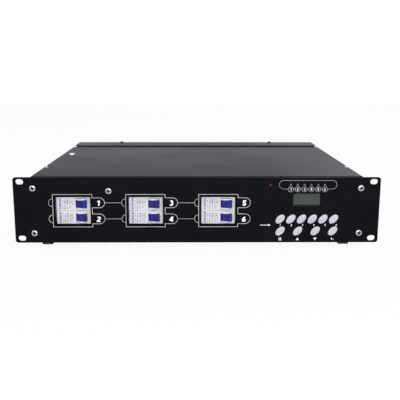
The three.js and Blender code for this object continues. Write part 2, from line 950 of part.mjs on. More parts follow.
// Lights: one round-nosed light, and a bar that carries six of them
function lightNose(x, z, back) {
  const { radius, proud } = light;
  const profile = [
    [0, -proud],
    [radius / 2, -proud],
    [radius, 0],
    [radius, back],
    [0, back],
  ];
  return turnedY(x, z, profile, smallSides);
}

function makeChannelLights() {
  const z = onPanel(heightShares.lightRow);
  const width = (channels - 1) * light.pitch + 2 * light.barMargin;
  const bar = rectangle(controlsX, z, width, light.barHeight);
  const parts = [alongY(bar, behindPanel, boardFront - seat)];
  for (let i = 0; i < channels; i += 1) parts.push(lightNose(lightX(i), z, behindPanel + sunk));
  return join(parts);
}

function makeStatusLight() {
  const x = controlsX + statusLight.offset;
  const z = onPanel(heightShares.statusLight);
  const collarBack = behindPanel + statusLight.collarDepth;
  return join([
    lightNose(x, z, boardFront - seat),
    rodY(x, z, statusLight.collarRadius, behindPanel, collarBack, smallSides),
  ]);
}

// Button: an oval cap with a low crown, a collar behind the panel and a stem to its switch
function makeButton([x, z]) {
  const { major, minor, tilt, proud, crown, collarReach } = button;
  const dome = crownShares.map(([radius, depth]) => [minor * radius, crown * depth - proud]);
  const root = behindPanel + sunk;
  const cap = lathe([...dome, [minor, root], [0, root]], ovalSides);
  cap.scale(major / minor, 1, 1).rotateY(-tilt).translate(x, 0, z);
  const reach = running + collarReach;
  const collar = oval(x, z, major + reach, minor + reach, tilt);
  const collarBack = behindPanel + button.collarThickness;
  return join([
    toSolid(cap),
    alongY(collar, behindPanel, collarBack),
    rodY(x, z, button.stemRadius, collarBack - sunk, buttonBack, hiddenSides),
  ]);
}

// Foot: a square rubber block with a well for its screw
function makeFoot(x, y) {
  const outline = rectangle(x, y, foot.side, foot.side);
  const well = circle(x, y, foot.wellRadius, plainSides);
  return join([
    alongZ(outline, 0, foot.wellDepth, [well]),
    alongZ(outline, foot.wellDepth - sunk, foot.height - seat),
  ]);
}

// Cable gland: thread and locknut inside the wall, hexagon and domed nut outside, bored through
function makeGland([x, z], gland) {
  const outside = trayBack + seat;
  const domeStart = outside + gland.flatsDepth;
  const domeEnd = domeStart + gland.domeDepth;
  const threadEnd = rearInside - seat - gland.threadReach;
  const nutBack = rearInside - seat;
  const shoulder = (gland.domeRadius + gland.mouthRadius) / 2;
  const dome = [
    [0, domeStart - sunk],
    [gland.domeRadius, domeStart - sunk],
    [gland.domeRadius, domeStart + gland.domeDepth / 2],
    [shoulder, domeStart + (gland.domeDepth * 5) / 6],
    [gland.mouthRadius, domeEnd],
    [0, domeEnd],
  ];
  const solid = join([
    turnedY(x, z, dome, fineSides),
    alongY(hexagon(x, z, gland.flats), outside, domeStart),
    rodY(x, z, gland.thread, threadEnd, outside + sunk, fineSides),
    alongY(hexagon(x, z, gland.flats), nutBack - gland.nutDepth, nutBack),
  ]);
  return cut(solid, [rodY(x, z, gland.bore, threadEnd - overrun, domeEnd + overrun, fineSides)]);
}

// Signal sockets: a square flange on a round shell; the inlet has pins in a cup, the outlet a core
// with holes inside a ring groove, and a latch above it
function socketShell([x, z]) {
  const front = trayBack + seat;
  const back = front + socket.flangeThickness;
  const holes = [];
  for (const sign of [-1, 1]) {
    const holeX = x + (sign * socket.screwSpanX) / 2;
    const holeZ = z - (sign * socket.screwSpanZ) / 2;
    holes.push(circle(holeX, holeZ, socket.screwRadius, smallSides));
  }
  const { flangeWidth, flangeHeight, flangeCorner } = socket;
  const flange = roundedRectangle(x, z, flangeWidth, flangeHeight, flangeCorner);
  return join([
    alongY(flange, front, back, holes),
    rodY(x, z, socket.shellRadius, back - socket.shellDepth, front + sunk, fineSides),
  ]);
}

function contactPlaces([x, z]) {
  return Array.from({ length: socket.contacts }, (_, i) => {
    const angle = ((4 * i) / socket.contacts - 1) * quarterTurn;
    return [x + socket.contactCircle * Math.cos(angle), z + socket.contactCircle * Math.sin(angle)];
  });
}

const socketFace = trayBack + seat + socket.flangeThickness;
const cupFloor = socketFace - socket.cupDepth;

function makeSignalInlet() {
  const [x, z] = inletPlace;
  const cup = rodY(x, z, socket.cupRadius, cupFloor, socketFace + overrun, fineSides);
  const pinEnd = cupFloor + socket.pinLength;
  const pins = contactPlaces(inletPlace).map(([pinX, pinZ]) =>
    rodY(pinX, pinZ, socket.pinRadius, cupFloor - sunk, pinEnd, smallSides),
  );
  return join([cut(socketShell(inletPlace), [cup]), ...pins]);
}

function makeSignalOutlet() {
  const [x, z] = outletPlace;
  const groove = alongY(circle(x, z, socket.cupRadius, fineSides), cupFloor, socketFace + overrun, [
    circle(x, z, socket.coreRadius, fineSides),
  ]);
  const holes = contactPlaces(outletPlace).map(([holeX, holeZ]) =>
    rodY(holeX, holeZ, socket.holeRadius, cupFloor, socketFace + overrun, smallSides),
  );
  const latchHole = rectangle(x, z + latch.offset, latch.width + 2 * running, latch.height + 2 * running);
  const flangeFront = trayBack + seat;
  const pocket = alongY(latchHole, flangeFront + seat, socketFace + overrun);
  return cut(socketShell(outletPlace), [groove, ...holes, pocket]);
}

function makeLatch() {
  const [x, z] = outletPlace;
  const front = trayBack + 2 * seat + latch.travel + seat;
  return alongY(rectangle(x, z + latch.offset, latch.width, latch.height), front, front + latch.depth);
}

// Fan: a square frame with a motor on four arms, and a rotor on the motor's post
const fanBack = rearInside - seat;
const fanFront = fanBack - fan.depth;

function makeFanFrame() {
  const [x, z] = fanPlace;
  const screws = [];
  for (const signX of [-1, 1]) {
    for (const signZ of [-1, 1]) {
      const holeX = x + (signX * fan.screwSpan) / 2;
      const holeZ = z + (signZ * fan.screwSpan) / 2;
      screws.push(circle(holeX, holeZ, fan.screwRadius, hiddenSides));
    }
  }
  const square = roundedRectangle(x, z, fan.size, fan.size, fan.corner);
  const motorBack = fanFront + fan.motorDepth;
  const arms = Array.from({ length: fan.arms }, (_, i) => {
    const reach = fan.ductRadius + fan.wall / 2;
    const arm = block([0, reach], [fanFront, fanFront + fan.armDepth], [-fan.armWidth / 2, fan.armWidth / 2]);
    return arm.rotate([0, (360 * (i + 0.5)) / fan.arms, 0]).translate([x, 0, z]);
  });
  const shell = join([
    alongY(square, fanFront, fanFront + fan.flange, screws),
    alongY(square, fanBack - fan.flange, fanBack, screws),
    rodY(x, z, fan.ductRadius + fan.wall, fanFront, fanBack, fineSides),
  ]);
  const duct = rodY(x, z, fan.ductRadius, fanFront - overrun, fanBack + overrun, fineSides);
  return join([
    cut(shell, [duct]),
    rodY(x, z, fan.motorRadius, fanFront, motorBack, fineSides),
    rodY(x, z, fan.postRadius, motorBack - sunk, motorBack + fan.postLength, smallSides),
    ...arms,
  ]);
}

function fanBlade(hubFront) {
  const half = fan.bladeChord / 2;
  const camber = half / 4;
  const front = arc(0, 0, 1, 0, Math.PI, bladeSteps).map((p) => point(p.x * half, p.y * camber));
  const rear = front.map((p) => point(p.x, p.y - fan.bladeThickness)).reverse();
  const blade = alongZ([...front, ...rear], fan.hubRadius - 2 * sunk, fan.ductRadius);
  const degrees = (fan.bladePitch * 180) / Math.PI;
  return blade.rotate([0, 0, degrees]).translate([0, hubFront + fan.hubDepth / 2, 0]);
}

function makeFanRotor() {
  const [x, z] = fanPlace;
  const hubFront = fanFront + fan.motorDepth + running;
  const hubBack = hubFront + fan.hubDepth;
  const boreEnd = fanFront + fan.motorDepth + fan.postLength + running;
  const hub = cut(rodY(0, 0, fan.hubRadius, hubFront, hubBack, fineSides), [
    rodY(0, 0, fan.postRadius + running, hubFront - overrun, boreEnd, smallSides),
  ]);
  const blades = Array.from({ length: fan.blades }, (_, i) =>
    fanBlade(hubFront).rotate([0, (360 * i) / fan.blades, 0]),
  );
  const swept = rodY(0, 0, fan.ductRadius - fan.tipGap, hubFront, hubBack, 2 * fineSides);
  return join([hub, join(blades).intersect(swept)]).translate([x, 0, z]);
}

// Earth stud: a threaded stud through the rear wall with a nut on each side
function makeEarthStud() {
  const [x, z] = earthPlace;
  const nut = hexagon(x, z, earthStud.flats);
  const inside = rearInside - seat;
  const outside = trayBack + seat;
  const start = inside - earthStud.innerReach;
  const end = outside + earthStud.outerReach;
  return join([
    rodY(x, z, earthStud.radius, start, end, smallSides),
    alongY(nut, inside - earthStud.nutDepth, inside),
    alongY(nut, outside, outside + earthStud.nutDepth),
  ]);
}

// Heat sink: a comb of level fins on an upright spine, lying in the fan's stream
const sinkBack = fanFront - sink.fanGap;
const sinkFront = sinkBack - sink.depth;

function makeHeatSink() {
  const right = sink.left + sink.width;
  const inner = sink.left + sink.spine;
  const top = innerFloor + sink.height;
  const finPitch = (sink.height - sink.base - sink.fin) / (sink.fins - 1);
  const outline = [
    [sink.left, innerFloor],
    [right, innerFloor],
    [right, innerFloor + sink.base],
  ];
  for (let i = 1; i < sink.fins; i += 1) {
    const low = innerFloor + sink.base + i * finPitch;
    outline.push([inner, i === 1 ? innerFloor + sink.base : low - finPitch + sink.fin]);
    outline.push([inner, low], [right, low], [right, low + sink.fin]);
  }
  outline.push([sink.left, top]);
  return alongY(points(outline), sinkFront, sinkBack);
}

// Power board: six power devices against the heat sink, a fuse for each, and two capacitors
const terminalsBack = rearInside - terminals.rearGap;
const terminalsFront = terminalsBack - terminals.depth;
const boardRight = sink.left - seat;
const powerBack = terminalsFront - powerBoard.rearGap;
const powerFront = powerBack - powerBoard.depth;

function makePowerBoard() {
  const bottom = innerFloor + powerBoard.standoff;
  const top = bottom + powerBoard.thickness;
  const left = boardRight - powerBoard.width;
  const parts = [block([left, boardRight], [powerFront, powerBack], [bottom, top])];
  const inset = powerBoard.standoffInset;
  for (const x of [left + inset, boardRight - inset]) {
    for (const y of [powerFront + inset, powerBack - inset]) {
      parts.push(rodZ(x, y, powerBoard.standoffRadius, innerFloor, bottom + sunk, hiddenSides));
    }
  }
  const middle = (sinkFront + sinkBack) / 2;
  for (let i = 0; i < channels; i += 1) {
    const y = middle + (i - (channels - 1) / 2) * powerBoard.devicePitch;
    const half = powerBoard.deviceLength / 2;
    const depths = [y - half, y + half];
    const device = [boardRight - powerBoard.deviceThickness, boardRight];
    parts.push(block(device, depths, [top - sunk, top + powerBoard.deviceHeight]));
    const fuseLeft = left + powerBoard.rowInset;
    const fuseZ = top + powerBoard.fuseRise;
    const fuse = circle(y, fuseZ, powerBoard.fuseRadius, hiddenSides);
    parts.push(alongX(fuse, fuseLeft, fuseLeft + powerBoard.fuseLength));
    const clip = [fuseLeft + powerBoard.fuseRadius, fuseLeft + powerBoard.fuseLength - powerBoard.fuseRadius];
    const clipDepths = [y - powerBoard.clipWidth / 2, y + powerBoard.clipWidth / 2];
    parts.push(block(clip, clipDepths, [top - sunk, fuseZ]));
  }
  const capX = (left + boardRight) / 2;
  for (const sign of [-1, 1]) {
    const x = capX + sign * powerBoard.capRadius * 2;
    const y = powerFront + powerBoard.capInset;
    parts.push(rodZ(x, y, powerBoard.capRadius, top - sunk, top + powerBoard.capHeight, plainSides));
  }
  return join(parts);
}

// Control transformer: a laminated core round its bobbin on a foot plate
function makeTransformer() {
  const x = trayHalf - transformer.inset;
  const y = trayFront + transformer.setback;
  const centred = (middle, length) => [middle - length / 2, middle + length / 2];
  const footTop = innerFloor + transformer.footSheet;
  const coreTop = footTop + transformer.height;
  const bobbinZ = centred(footTop + transformer.height / 2, transformer.bobbinHeight);
  return join([
    block(centred(x, transformer.footLength), centred(y, transformer.footDepth), [innerFloor, footTop]),
    block(centred(x, transformer.length), centred(y, transformer.depth), [footTop - sunk, coreTop]),
    block(centred(x, transformer.bobbinLength), centred(y, transformer.bobbinDepth), bobbinZ),
  ]);
}

// Choke bank: six ring chokes lying on one carrier plate
function makeChokeBank() {
  const { outerRadius, innerRadius, height, edge, pitch, margin } = chokes;
  const left = chokes.inset - trayHalf;
  const front = trayFront + chokes.setback;
  const width = (chokes.across - 1) * pitch + 2 * (outerRadius + margin);
  const depth = (chokes.along - 1) * pitch + 2 * (outerRadius + margin);
  const plateTop = innerFloor + chokes.carrierThickness;
  const bottom = plateTop - sunk;
  const top = plateTop + height;
  const profile = [
    [innerRadius, bottom],
    [outerRadius, bottom],
    [outerRadius, top - edge],
    [outerRadius - edge, top],
    [innerRadius, top],
  ];
  const parts = [block([left, left + width], [front, front + depth], [innerFloor, plateTop])];
  for (let i = 0; i < chokes.across; i += 1) {
    for (let j = 0; j < chokes.along; j += 1) {
      const x = left + margin + outerRadius + i * pitch;
      const y = front + margin + outerRadius + j * pitch;
      parts.push(turnedZ(x, y, profile, plainSides));
    }
  }
  return join(parts);
}

// Terminal strip: a base with a barrier between each two poles
function makeTerminalStrip() {
  const left = terminals.inset - trayHalf;
  const right = left + terminals.poles * terminals.pitch + terminals.barrier;
  const outline = [
    [left, innerFloor],
    [right, innerFloor],
  ];
  for (let i = terminals.poles; i >= 0; i -= 1) {
    const barrierLeft = left + i * terminals.pitch;
    const barrierRight = barrierLeft + terminals.barrier;
    if (i < terminals.poles) outline.push([barrierRight, innerFloor + terminals.base]);
    outline.push([barrierRight, innerFloor + terminals.height]);
    outline.push([barrierLeft, innerFloor + terminals.height]);
    if (i > 0) outline.push([barrierLeft, innerFloor + terminals.base]);
  }
  return alongY(points(outline), terminalsFront, terminalsBack);
}

// Assembly
add("chassis_tray", makeTray(), blackPaint);
add("top_cover", makeTopCover(), coverPaint);
add("service_cover", makeServiceCover(), coverPaint);
add("front_panel", makeFrontPanel(), blackPaint);
add("cover_bolt", makeCoverBolt(), zincSteel);
panelScrewPlaces.forEach((place, i) => add(`panel_screw_${i + 1}`, makePanelScrew(place), zincSteel));

for (let column = 0; column < columns; column += 1) {
  const x = columnX(column);
  for (let row = 0; row < breakersPerColumn; row += 1) {
    const number = column * breakersPerColumn + row + 1;
    add(`breaker_body_${number}`, makeBreakerBody(x, rowZ(row)), whitePlastic);
    add(`breaker_lever_${number}`, makeBreakerLever(x, rowZ(row)), bluePlastic);
  }
  add(`din_rail_${column + 1}`, makeRail(x), zincSteel);
}
add("breaker_bracket", makeBracket(), zincSteel);

add("control_board", makeControlBoard(), boardGreen);
add("display_lens", makeDisplayLens(), displayGlass);
add("display_module", makeDisplayModule(), moduleGrey);
add("channel_lights", makeChannelLights(), lightWhite);
add("status_light", makeStatusLight(), lightRed);
keyPlaces().forEach((place, i) => {
  const name = i < channels ? `channel_button_${i + 1}` : menuKeys[i - channels];
  add(name, makeButton(place), buttonPlastic);
});

for (const [side, x] of [["left", foot.insetLeft - trayHalf], ["right", trayHalf - foot.insetRight]]) {
  add(`foot_front_${side}`, makeFoot(x, trayFront + foot.setback), rubber);
  add(`foot_rear_${side}`, makeFoot(x, trayBack - foot.setback), rubber);
}

add("mains_gland", makeGland(mainsGlandPlace, mainsGland), blackPlastic);
for (let i = 0; i < columns; i += 1) {
  add(`output_gland_${i + 1}`, makeGland(outputGlandPlace(i), outputGland), blackPlastic);
}
add("signal_inlet", makeSignalInlet(), nickel);
add("signal_outlet", makeSignalOutlet(), nickel);
add("signal_outlet_latch", makeLatch(), zincSteel);
add("fan_frame", makeFanFrame(), blackPlastic);
add("fan_rotor", makeFanRotor(), blackPlastic);
add("earth_stud", makeEarthStud(), zincSteel);

add("heat_sink", makeHeatSink(), aluminium);
add("power_board", makePowerBoard(), boardGreen);
add("control_transformer", makeTransformer(), woundBrown);
add("choke_bank", makeChokeBank(), woundBrown);
add("terminal_strip", makeTerminalStrip(), blackPlastic);

// The origin is the middle of the ground that the pack covers
const bounds = new THREE.Box3().setFromObject(dimmer);
dimmer.position.y = -(bounds.min.y + bounds.max.y) / 2;

export default dimmer;
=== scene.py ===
from math import atan2, cos, degrees, pi, radians, sin, sqrt

import bmesh
import bpy
import numpy as np
from mathutils import Matrix, Vector
from mathutils.geometry import tessellate_polygon


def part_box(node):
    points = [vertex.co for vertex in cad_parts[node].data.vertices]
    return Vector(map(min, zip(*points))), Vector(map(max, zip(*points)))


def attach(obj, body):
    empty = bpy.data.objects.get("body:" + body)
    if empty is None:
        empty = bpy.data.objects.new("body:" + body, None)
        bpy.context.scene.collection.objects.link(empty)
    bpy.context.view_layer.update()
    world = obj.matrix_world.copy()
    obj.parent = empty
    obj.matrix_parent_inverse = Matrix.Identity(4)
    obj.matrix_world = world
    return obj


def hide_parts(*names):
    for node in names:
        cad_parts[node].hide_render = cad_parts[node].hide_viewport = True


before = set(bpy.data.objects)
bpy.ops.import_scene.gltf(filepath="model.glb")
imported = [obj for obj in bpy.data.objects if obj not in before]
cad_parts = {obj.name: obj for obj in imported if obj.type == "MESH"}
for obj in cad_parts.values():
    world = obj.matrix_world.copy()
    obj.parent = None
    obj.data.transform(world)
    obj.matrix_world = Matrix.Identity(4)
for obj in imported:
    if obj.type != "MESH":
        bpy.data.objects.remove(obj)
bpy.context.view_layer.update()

# Rack dimmer pack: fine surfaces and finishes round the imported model.
# Shapes are worked out in millimetres, seen square on (x right, y up, z towards the viewer),
# and then set in place in metres.
mm = 0.001


def low(node):
    return np.array(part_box(node)[0])


def high(node):
    return np.array(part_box(node)[1])


def middle(node):
    return (low(node) + high(node)) / 2


# A node's middle, but at the given level along one axis
def middleAt(node, axis, level):
    place = middle(node)
    place[axis] = level
    return place


# A node's size, in millimetres
def extent(node):
    return (high(node) - low(node)) / mm


def fullTurn(count):
    return np.linspace(0, 2 * pi, count, endpoint=False)


def heading(angle):
    return np.stack([np.cos(angle), np.sin(angle)], -1)


# Turns rows of x and y anticlockwise
def spin(angle):
    return np.array([[cos(angle), sin(angle)], [-sin(angle), cos(angle)]])


# Outlines: arrays of points in millimetres, anticlockwise
# Points at even angles round an ellipse whose long axis leans by tilt
def oval(major, minor, tilt=0.0, centre=(0, 0), count=64):
    return heading(fullTurn(count)) * [major, minor] @ spin(tilt) + centre


def circle(radius, centre=(0, 0), count=48):
    return oval(radius, radius, 0.0, centre, count)


few = 24  # sides of small round holes and rods


# Rectangle with round corners: a quarter turn of angles, moved out to each corner's centre
def roundRect(width, height, radius, centre=(0, 0), steps=8):
    turn = np.linspace(0, pi / 2, steps + 1)
    angle = (turn + np.arange(4)[:, None] * pi / 2).ravel()
    side = np.repeat([[1, 1], [-1, 1], [-1, -1], [1, -1]], steps + 1, 0)
    points = heading(angle) * radius + side * [width / 2 - radius, height / 2 - radius]
    apart = np.linalg.norm(np.roll(points, -1, 0) - points, axis=1) > 1e-6  # a slot's ends meet
    return points[apart] + centre


# Corners of a rectangle, as an outline or as the places of four equal holes
def rectangle(width, height, centre=(0, 0)):
    side = np.array([[-1, -1], [1, -1], [1, 1], [-1, 1]])
    return side * [width / 2, height / 2] + centre


# Arc of a circle, for open lines and round stretches of an outline
def arc(radius, start, end, centre=(0, 0), steps=16):
    return heading(np.radians(np.linspace(start, end, steps + 1))) * radius + centre


# Rounds every corner of a closed outline: a quadratic curve between two points that lie one
# radius before and after the corner, or half the edge where that is shorter
def softened(outline, radius, steps=4):
    corner = np.asarray(outline, float)
    before, after = np.roll(corner, 1, 0) - corner, np.roll(corner, -1, 0) - corner
    lengths = [np.linalg.norm(edge, axis=1)[:, None] for edge in (before, after)]
    start = corner + before / lengths[0] * np.minimum(radius, lengths[0] / 2)
    end = corner + after / lengths[1] * np.minimum(radius, lengths[1] / 2)
    t = np.linspace(0, 1, steps + 1)[None, :, None]
    curve = (1 - t) ** 2 * start[:, None] + 2 * t * (1 - t) * corner[:, None] + t**2 * end[:, None]
    return curve.reshape(-1, 2)


# A line with its inner corners rounded
def bent(path, radius, steps=5):
    curve = softened(path, radius, steps)[steps + 1:-(steps + 1)]
    return np.concatenate([path[:1], curve, path[-1:]])


def hexagon(flats, corner=1.0, steps=6):
    return softened(heading(np.arange(6) * pi / 3 + pi / 6) * flats / sqrt(3), corner, steps)


# How far each corner of an outline moves for one unit of inset: both edges' normals, mitred
def inward(outline):
    edge = np.roll(outline, -1, 0) - outline
    edge = edge / np.linalg.norm(edge, axis=1)[:, None]
    normal = np.stack([-edge[:, 1], edge[:, 0]], 1)
    last = np.roll(normal, 1, 0)
    return (normal + last) / (1 + (normal * last).sum(1))[:, None]


# Shapes: a pair of corners (n, 3) and faces, in millimetres
# Quads between the rows of a grid; each row is closed, and the last row meets the first in a loop
def quads(rows, count, loop=False):
    row = np.arange(rows if loop else rows - 1)[:, None]
    column = np.arange(count)[None]
    following, beside = (row + 1) % rows, (column + 1) % count
    around = [row * count + column, row * count + beside,
              following * count + beside, following * count + column]
    return np.stack(around, -1).reshape(-1, 4)


# A grid of points (rows, count, 3) made a closed surface, its two ends fanned to their middles
def surface(grid, loop=False):
    rows, count = grid.shape[:2]
    corners, faces = grid.reshape(-1, 3), quads(rows, count, loop).tolist()
    if loop:
        return corners, faces
    ends = [grid[0].mean(0), grid[-1].mean(0)]
    around = np.arange(count)
    for end, first in enumerate((0, (rows - 1) * count)):
        tip = np.full(count, len(corners) + end)
        faces += np.stack([first + around, first + (around + 1) % count, tip], 1).tolist()
    return np.concatenate([corners, ends]), faces


# Points of a grid in polar form, from a radius, angle and z that are numbers, rows or columns
def polar(radius, angle, level):
    radius, angle, level = np.broadcast_arrays(radius, angle, level)
    return np.stack([radius * np.cos(angle), radius * np.sin(angle), level], -1)


# A turned part: the profile's (radius, z) pairs carried round the axis. In a loop the profile is
# closed, and the part is open along its axis
def turned(profile, count=72, centre=(0, 0), loop=False):
    radius, level = np.array(profile, float).T[:, :, None]
    return moved(surface(polar(radius, fullTurn(count), level), loop), *centre)


def rod(radius, start, end, centre=(0, 0), count=few):
    return turned([(radius, start), (radius, end)], count, centre)


def raised(outline, level):
    return np.column_stack([outline, np.full(len(outline), level)])


# A plate with holes: each outline is carried through a profile of (inset, z) pairs, and the first
# and last rings are filled with triangles
def plate(outer, holes, profile):
    corners, faces, rims, start = [], [], [], 0
    for outline in [outer] + [hole[::-1] for hole in holes]:
        way = inward(outline)
        rings = [raised(outline + way * inset, level) for inset, level in profile]
        corners.append(np.concatenate(rings))
        faces += (quads(len(profile), len(outline)) + start).tolist()
        rims.append(np.arange(len(outline)) + start)
        start += len(corners[-1])
    corners = np.concatenate(corners)
    rim = np.concatenate(rims)
    flat = [[Vector((*corners[i][:2], 0)) for i in ring] for ring in rims]
    filled = np.array(tessellate_polygon(flat))
    last = np.concatenate([ring + (len(profile) - 1) * len(ring) for ring in rims])
    return corners, faces + rim[filled].tolist() + last[filled].tolist()


# Edge of a plate: a quarter round at the front, the flat edge, a quarter round at the back
def edges(thickness, front, back, top=0.0, steps=3):
    turn = np.linspace(0, pi / 2, steps + 1)
    head = np.stack([front * (1 - np.sin(turn)), top - front * (1 - np.cos(turn))], 1)
    tail = np.stack([back * (1 - np.cos(turn)), top - thickness + back * (1 - np.sin(turn))], 1)
    return np.concatenate([head, tail])


# A plate from one level to another, its edges rounded alike
def slab(outline, bottom, top, holes=(), edge=0.0):
    profile = edges(top - bottom, edge, edge, top) if edge else [(0, top), (0, bottom)]
    return plate(outline, list(holes), profile)


# A slab that reaches equally far to both sides of its outline's plane
def centred(outline, width, edge=0.0):
    return slab(outline, -width / 2, width / 2, edge=edge)


# A strip of rectangular section along a line: each point gets four corners, set off by the mitre
def ribbon(path, width, front, back, closed=False):
    path = np.asarray(path, float)
    if closed:
        side = inward(path)
    else:
        along = np.gradient(path, axis=0)
        along /= np.linalg.norm(along, axis=1)[:, None]
        side = np.stack([-along[:, 1], along[:, 0]], 1)
    left, right = path + side * width / 2, path - side * width / 2
    rows = [raised(left, front), raised(right, front), raised(right, back), raised(left, back)]
    return surface(np.stack(rows, 1), loop=closed)


def combined(shapes):
    corners, faces, start = [], [], 0
    for points, polygons in shapes:
        corners.append(np.asarray(points, float))
        faces += [[index + start for index in polygon] for polygon in polygons]
        start += len(points)
    return np.concatenate(corners), faces


def moved(shape, x=0.0, y=0.0, z=0.0):
    return shape[0] + [x, y, z], shape[1]


# Rows say where a shape's own x, y and z point once it faces that way
facings = {
    "front": [[1, 0, 0], [0, 0, 1], [0, -1, 0]],
    "back": [[-1, 0, 0], [0, 0, 1], [0, 1, 0]],
    "up": [[1, 0, 0], [0, 1, 0], [0, 0, 1]],
    "down": [[1, 0, 0], [0, -1, 0], [0, 0, -1]],
    "right": [[0, 1, 0], [0, 0, 1], [1, 0, 0]],
}


def turnedTo(shape, facing, place=(0, 0, 0)):
    return shape[0] @ np.array(facings[facing], float) + place, shape[1]


# A mesh with its doubles merged and its faces turned outwards
def meshed(name, corners, faces, merge, collapse=0.0):
    mesh = bpy.data.meshes.new(name)
    mesh.from_pydata(np.asarray(corners).tolist(), [], faces)
    work = bmesh.new()
    work.from_mesh(mesh)
    bmesh.ops.remove_doubles(work, verts=work.verts, dist=merge)
    if collapse:
        bmesh.ops.dissolve_degenerate(work, edges=work.edges, dist=collapse)
    bmesh.ops.recalc_face_normals(work, faces=work.faces)
    work.to_mesh(mesh)
    work.free()
    return mesh


def linked(name, data):
    made = bpy.data.objects.new(name, data)
    bpy.context.scene.collection.objects.link(made)
    return made


# Exact cuts or joins of closed shapes, one tool after another
def carved(base, tools, operation="DIFFERENCE"):
    holders = [linked("blank", meshed("blank", *shape, merge=1e-4)) for shape in [base, *tools]]
    for tool in holders[1:]:
        modifier = holders[0].modifiers.new("tool", "BOOLEAN")
        modifier.operation, modifier.object, modifier.solver = operation, tool, "EXACT"
    bpy.context.view_layer.update()
    done = holders[0].evaluated_get(bpy.context.evaluated_depsgraph_get())
    mesh = bpy.data.meshes.new_from_object(done)
    corners = np.empty(len(mesh.vertices) * 3)
    mesh.vertices.foreach_get("co", corners)
    faces = [list(polygon.vertices) for polygon in mesh.polygons]
    for holder in holders:
        bpy.data.meshes.remove(holder.data)
    bpy.data.meshes.remove(mesh)
    return corners.reshape(-1, 3), faces


# Makes an object of shapes that face one way from an origin in metres, with its edges over the
# sharp angle, in degrees, kept crisp
def piece(name, shapes, facing, origin, material, body="case", replaced=(), sharp=35):
    corners, faces = turnedTo(combined(shapes), facing)
    mesh = meshed(name, corners * mm + origin, faces, merge=1e-6, collapse=1e-7)
    mesh.shade_smooth()
    mesh.set_sharp_from_angle(angle=radians(sharp))
    mesh.materials.append(material)
    made = linked(name, mesh)
    weighted = made.modifiers.new("flat faces stay flat", "WEIGHTED_NORMAL")
    weighted.keep_sharp = True
    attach(made, body)
    if replaced:
        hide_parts(*replaced)


# Shaders
# A socket that Python can do sums with: each operator adds one Math node
class Wire:
    def __init__(self, tree, socket=None):
        self.tree, self.socket = tree, socket

    # Any node: its type, the values or wires of its sockets, the output wanted, its settings
    def node(self, kind, values=None, output=0, **settings):
        made = self.tree.nodes.new("ShaderNode" + kind)
        for name, value in settings.items():
            setattr(made, name, value)
        for name, value in (values or {}).items():
            if isinstance(value, Wire):
                self.tree.links.new(value.socket, made.inputs[name])
            else:
                made.inputs[name].default_value = value
        return Wire(self.tree, made.outputs[output])

    def math(self, operation, first, second=0.0, clamp=False):
        return self.node("Math", {0: first, 1: second}, operation=operation, use_clamp=clamp)

    def __add__(self, other):
        return self.math("ADD", self, other)

    def __mul__(self, other):
        return self.math("MULTIPLY", self, other)

    def __sub__(self, other):
        return self.math("SUBTRACT", self, other)

    def __rsub__(self, other):
        return self.math("SUBTRACT", other, self)

    def __abs__(self):
        return self.math("ABSOLUTE", self)

    __radd__, __rmul__ = __add__, __mul__

    # 0 below the first level and 1 above the second
    def between(self, start, end):
        return self.node("MapRange", {"Value": self, "From Min": start, "From Max": end},
                         interpolation_type="SMOOTHSTEP")

    # The first colour where this is 0 and the second where it is 1
    def mixed(self, first, second):
        return self.node("Mix", {0: self, 6: first, 7: second}, 2, data_type="RGBA")

    def noise(self, scale, detail=2.0, stretch=(1, 1, 1)):
        spread = self.node("Mapping", {"Vector": self, "Scale": stretch})
        return self.node("TexNoise", {"Vector": spread, "Scale": scale, "Detail": detail})

    def axis(self, number):
        return self.node("SeparateXYZ", {0: self}, number)

    def feed(self, shader, socket):
        self.tree.links.new(self.socket, shader.inputs[socket])


# A colour as it is seen, 0 to 255, made linear
def seen(red, green, blue):
    share = np.array([red, green, blue]) / 255
    linear = np.where(share > 0.04045, ((share + 0.055) / 1.055) ** 2.4, share / 12.92)
    return (*linear.tolist(), 1.0)


def blankMaterial(name, fixed):
    made = bpy.data.materials.new(name)
    made.use_nodes = True
    shader = made.node_tree.nodes["Principled BSDF"]
    for socket, value in fixed.items():
        shader.inputs[socket].default_value = value
    return made, shader, Wire(made.node_tree).node("TexCoord", output="Object")


coat = {"cloudEdge": (0.35, 0.65), "speckScale": 420, "speckEdge": (0.74, 0.80),
        "speckTone": (150, 150, 155), "lift": 0.6}


# A finish: two tones in soft clouds, a fine grain that also lifts the surface, and light specks
def finish(name, tones, roughness, spread=0.08, cloud=30, grain=900, depth=0.02, specks=0.0,
           stretch=(1, 1, 1), metal=0.0, glint=0.5):
    made, shader, place = blankMaterial(name, {"Metallic": metal, "Specular IOR Level": glint})
    clouds = place.noise(cloud, 3.0, stretch).between(*coat["cloudEdge"])
    fine = place.noise(grain, 2.0, stretch)
    color = clouds.mixed(seen(*tones[0]), seen(*tones[1]))
    if specks:
        dots = place.noise(coat["speckScale"], 1.0).between(*coat["speckEdge"]) * specks
        color = dots.mixed(color, seen(*coat["speckTone"]))
    color.feed(shader, "Base Color")
    (roughness - spread / 2 + fine * spread + (clouds - 0.5) * spread).feed(shader, "Roughness")
    lifted = place.node("Bump", {"Height": fine, "Strength": coat["lift"], "Distance": depth * mm})
    lifted.feed(shader, "Normal")
    return made


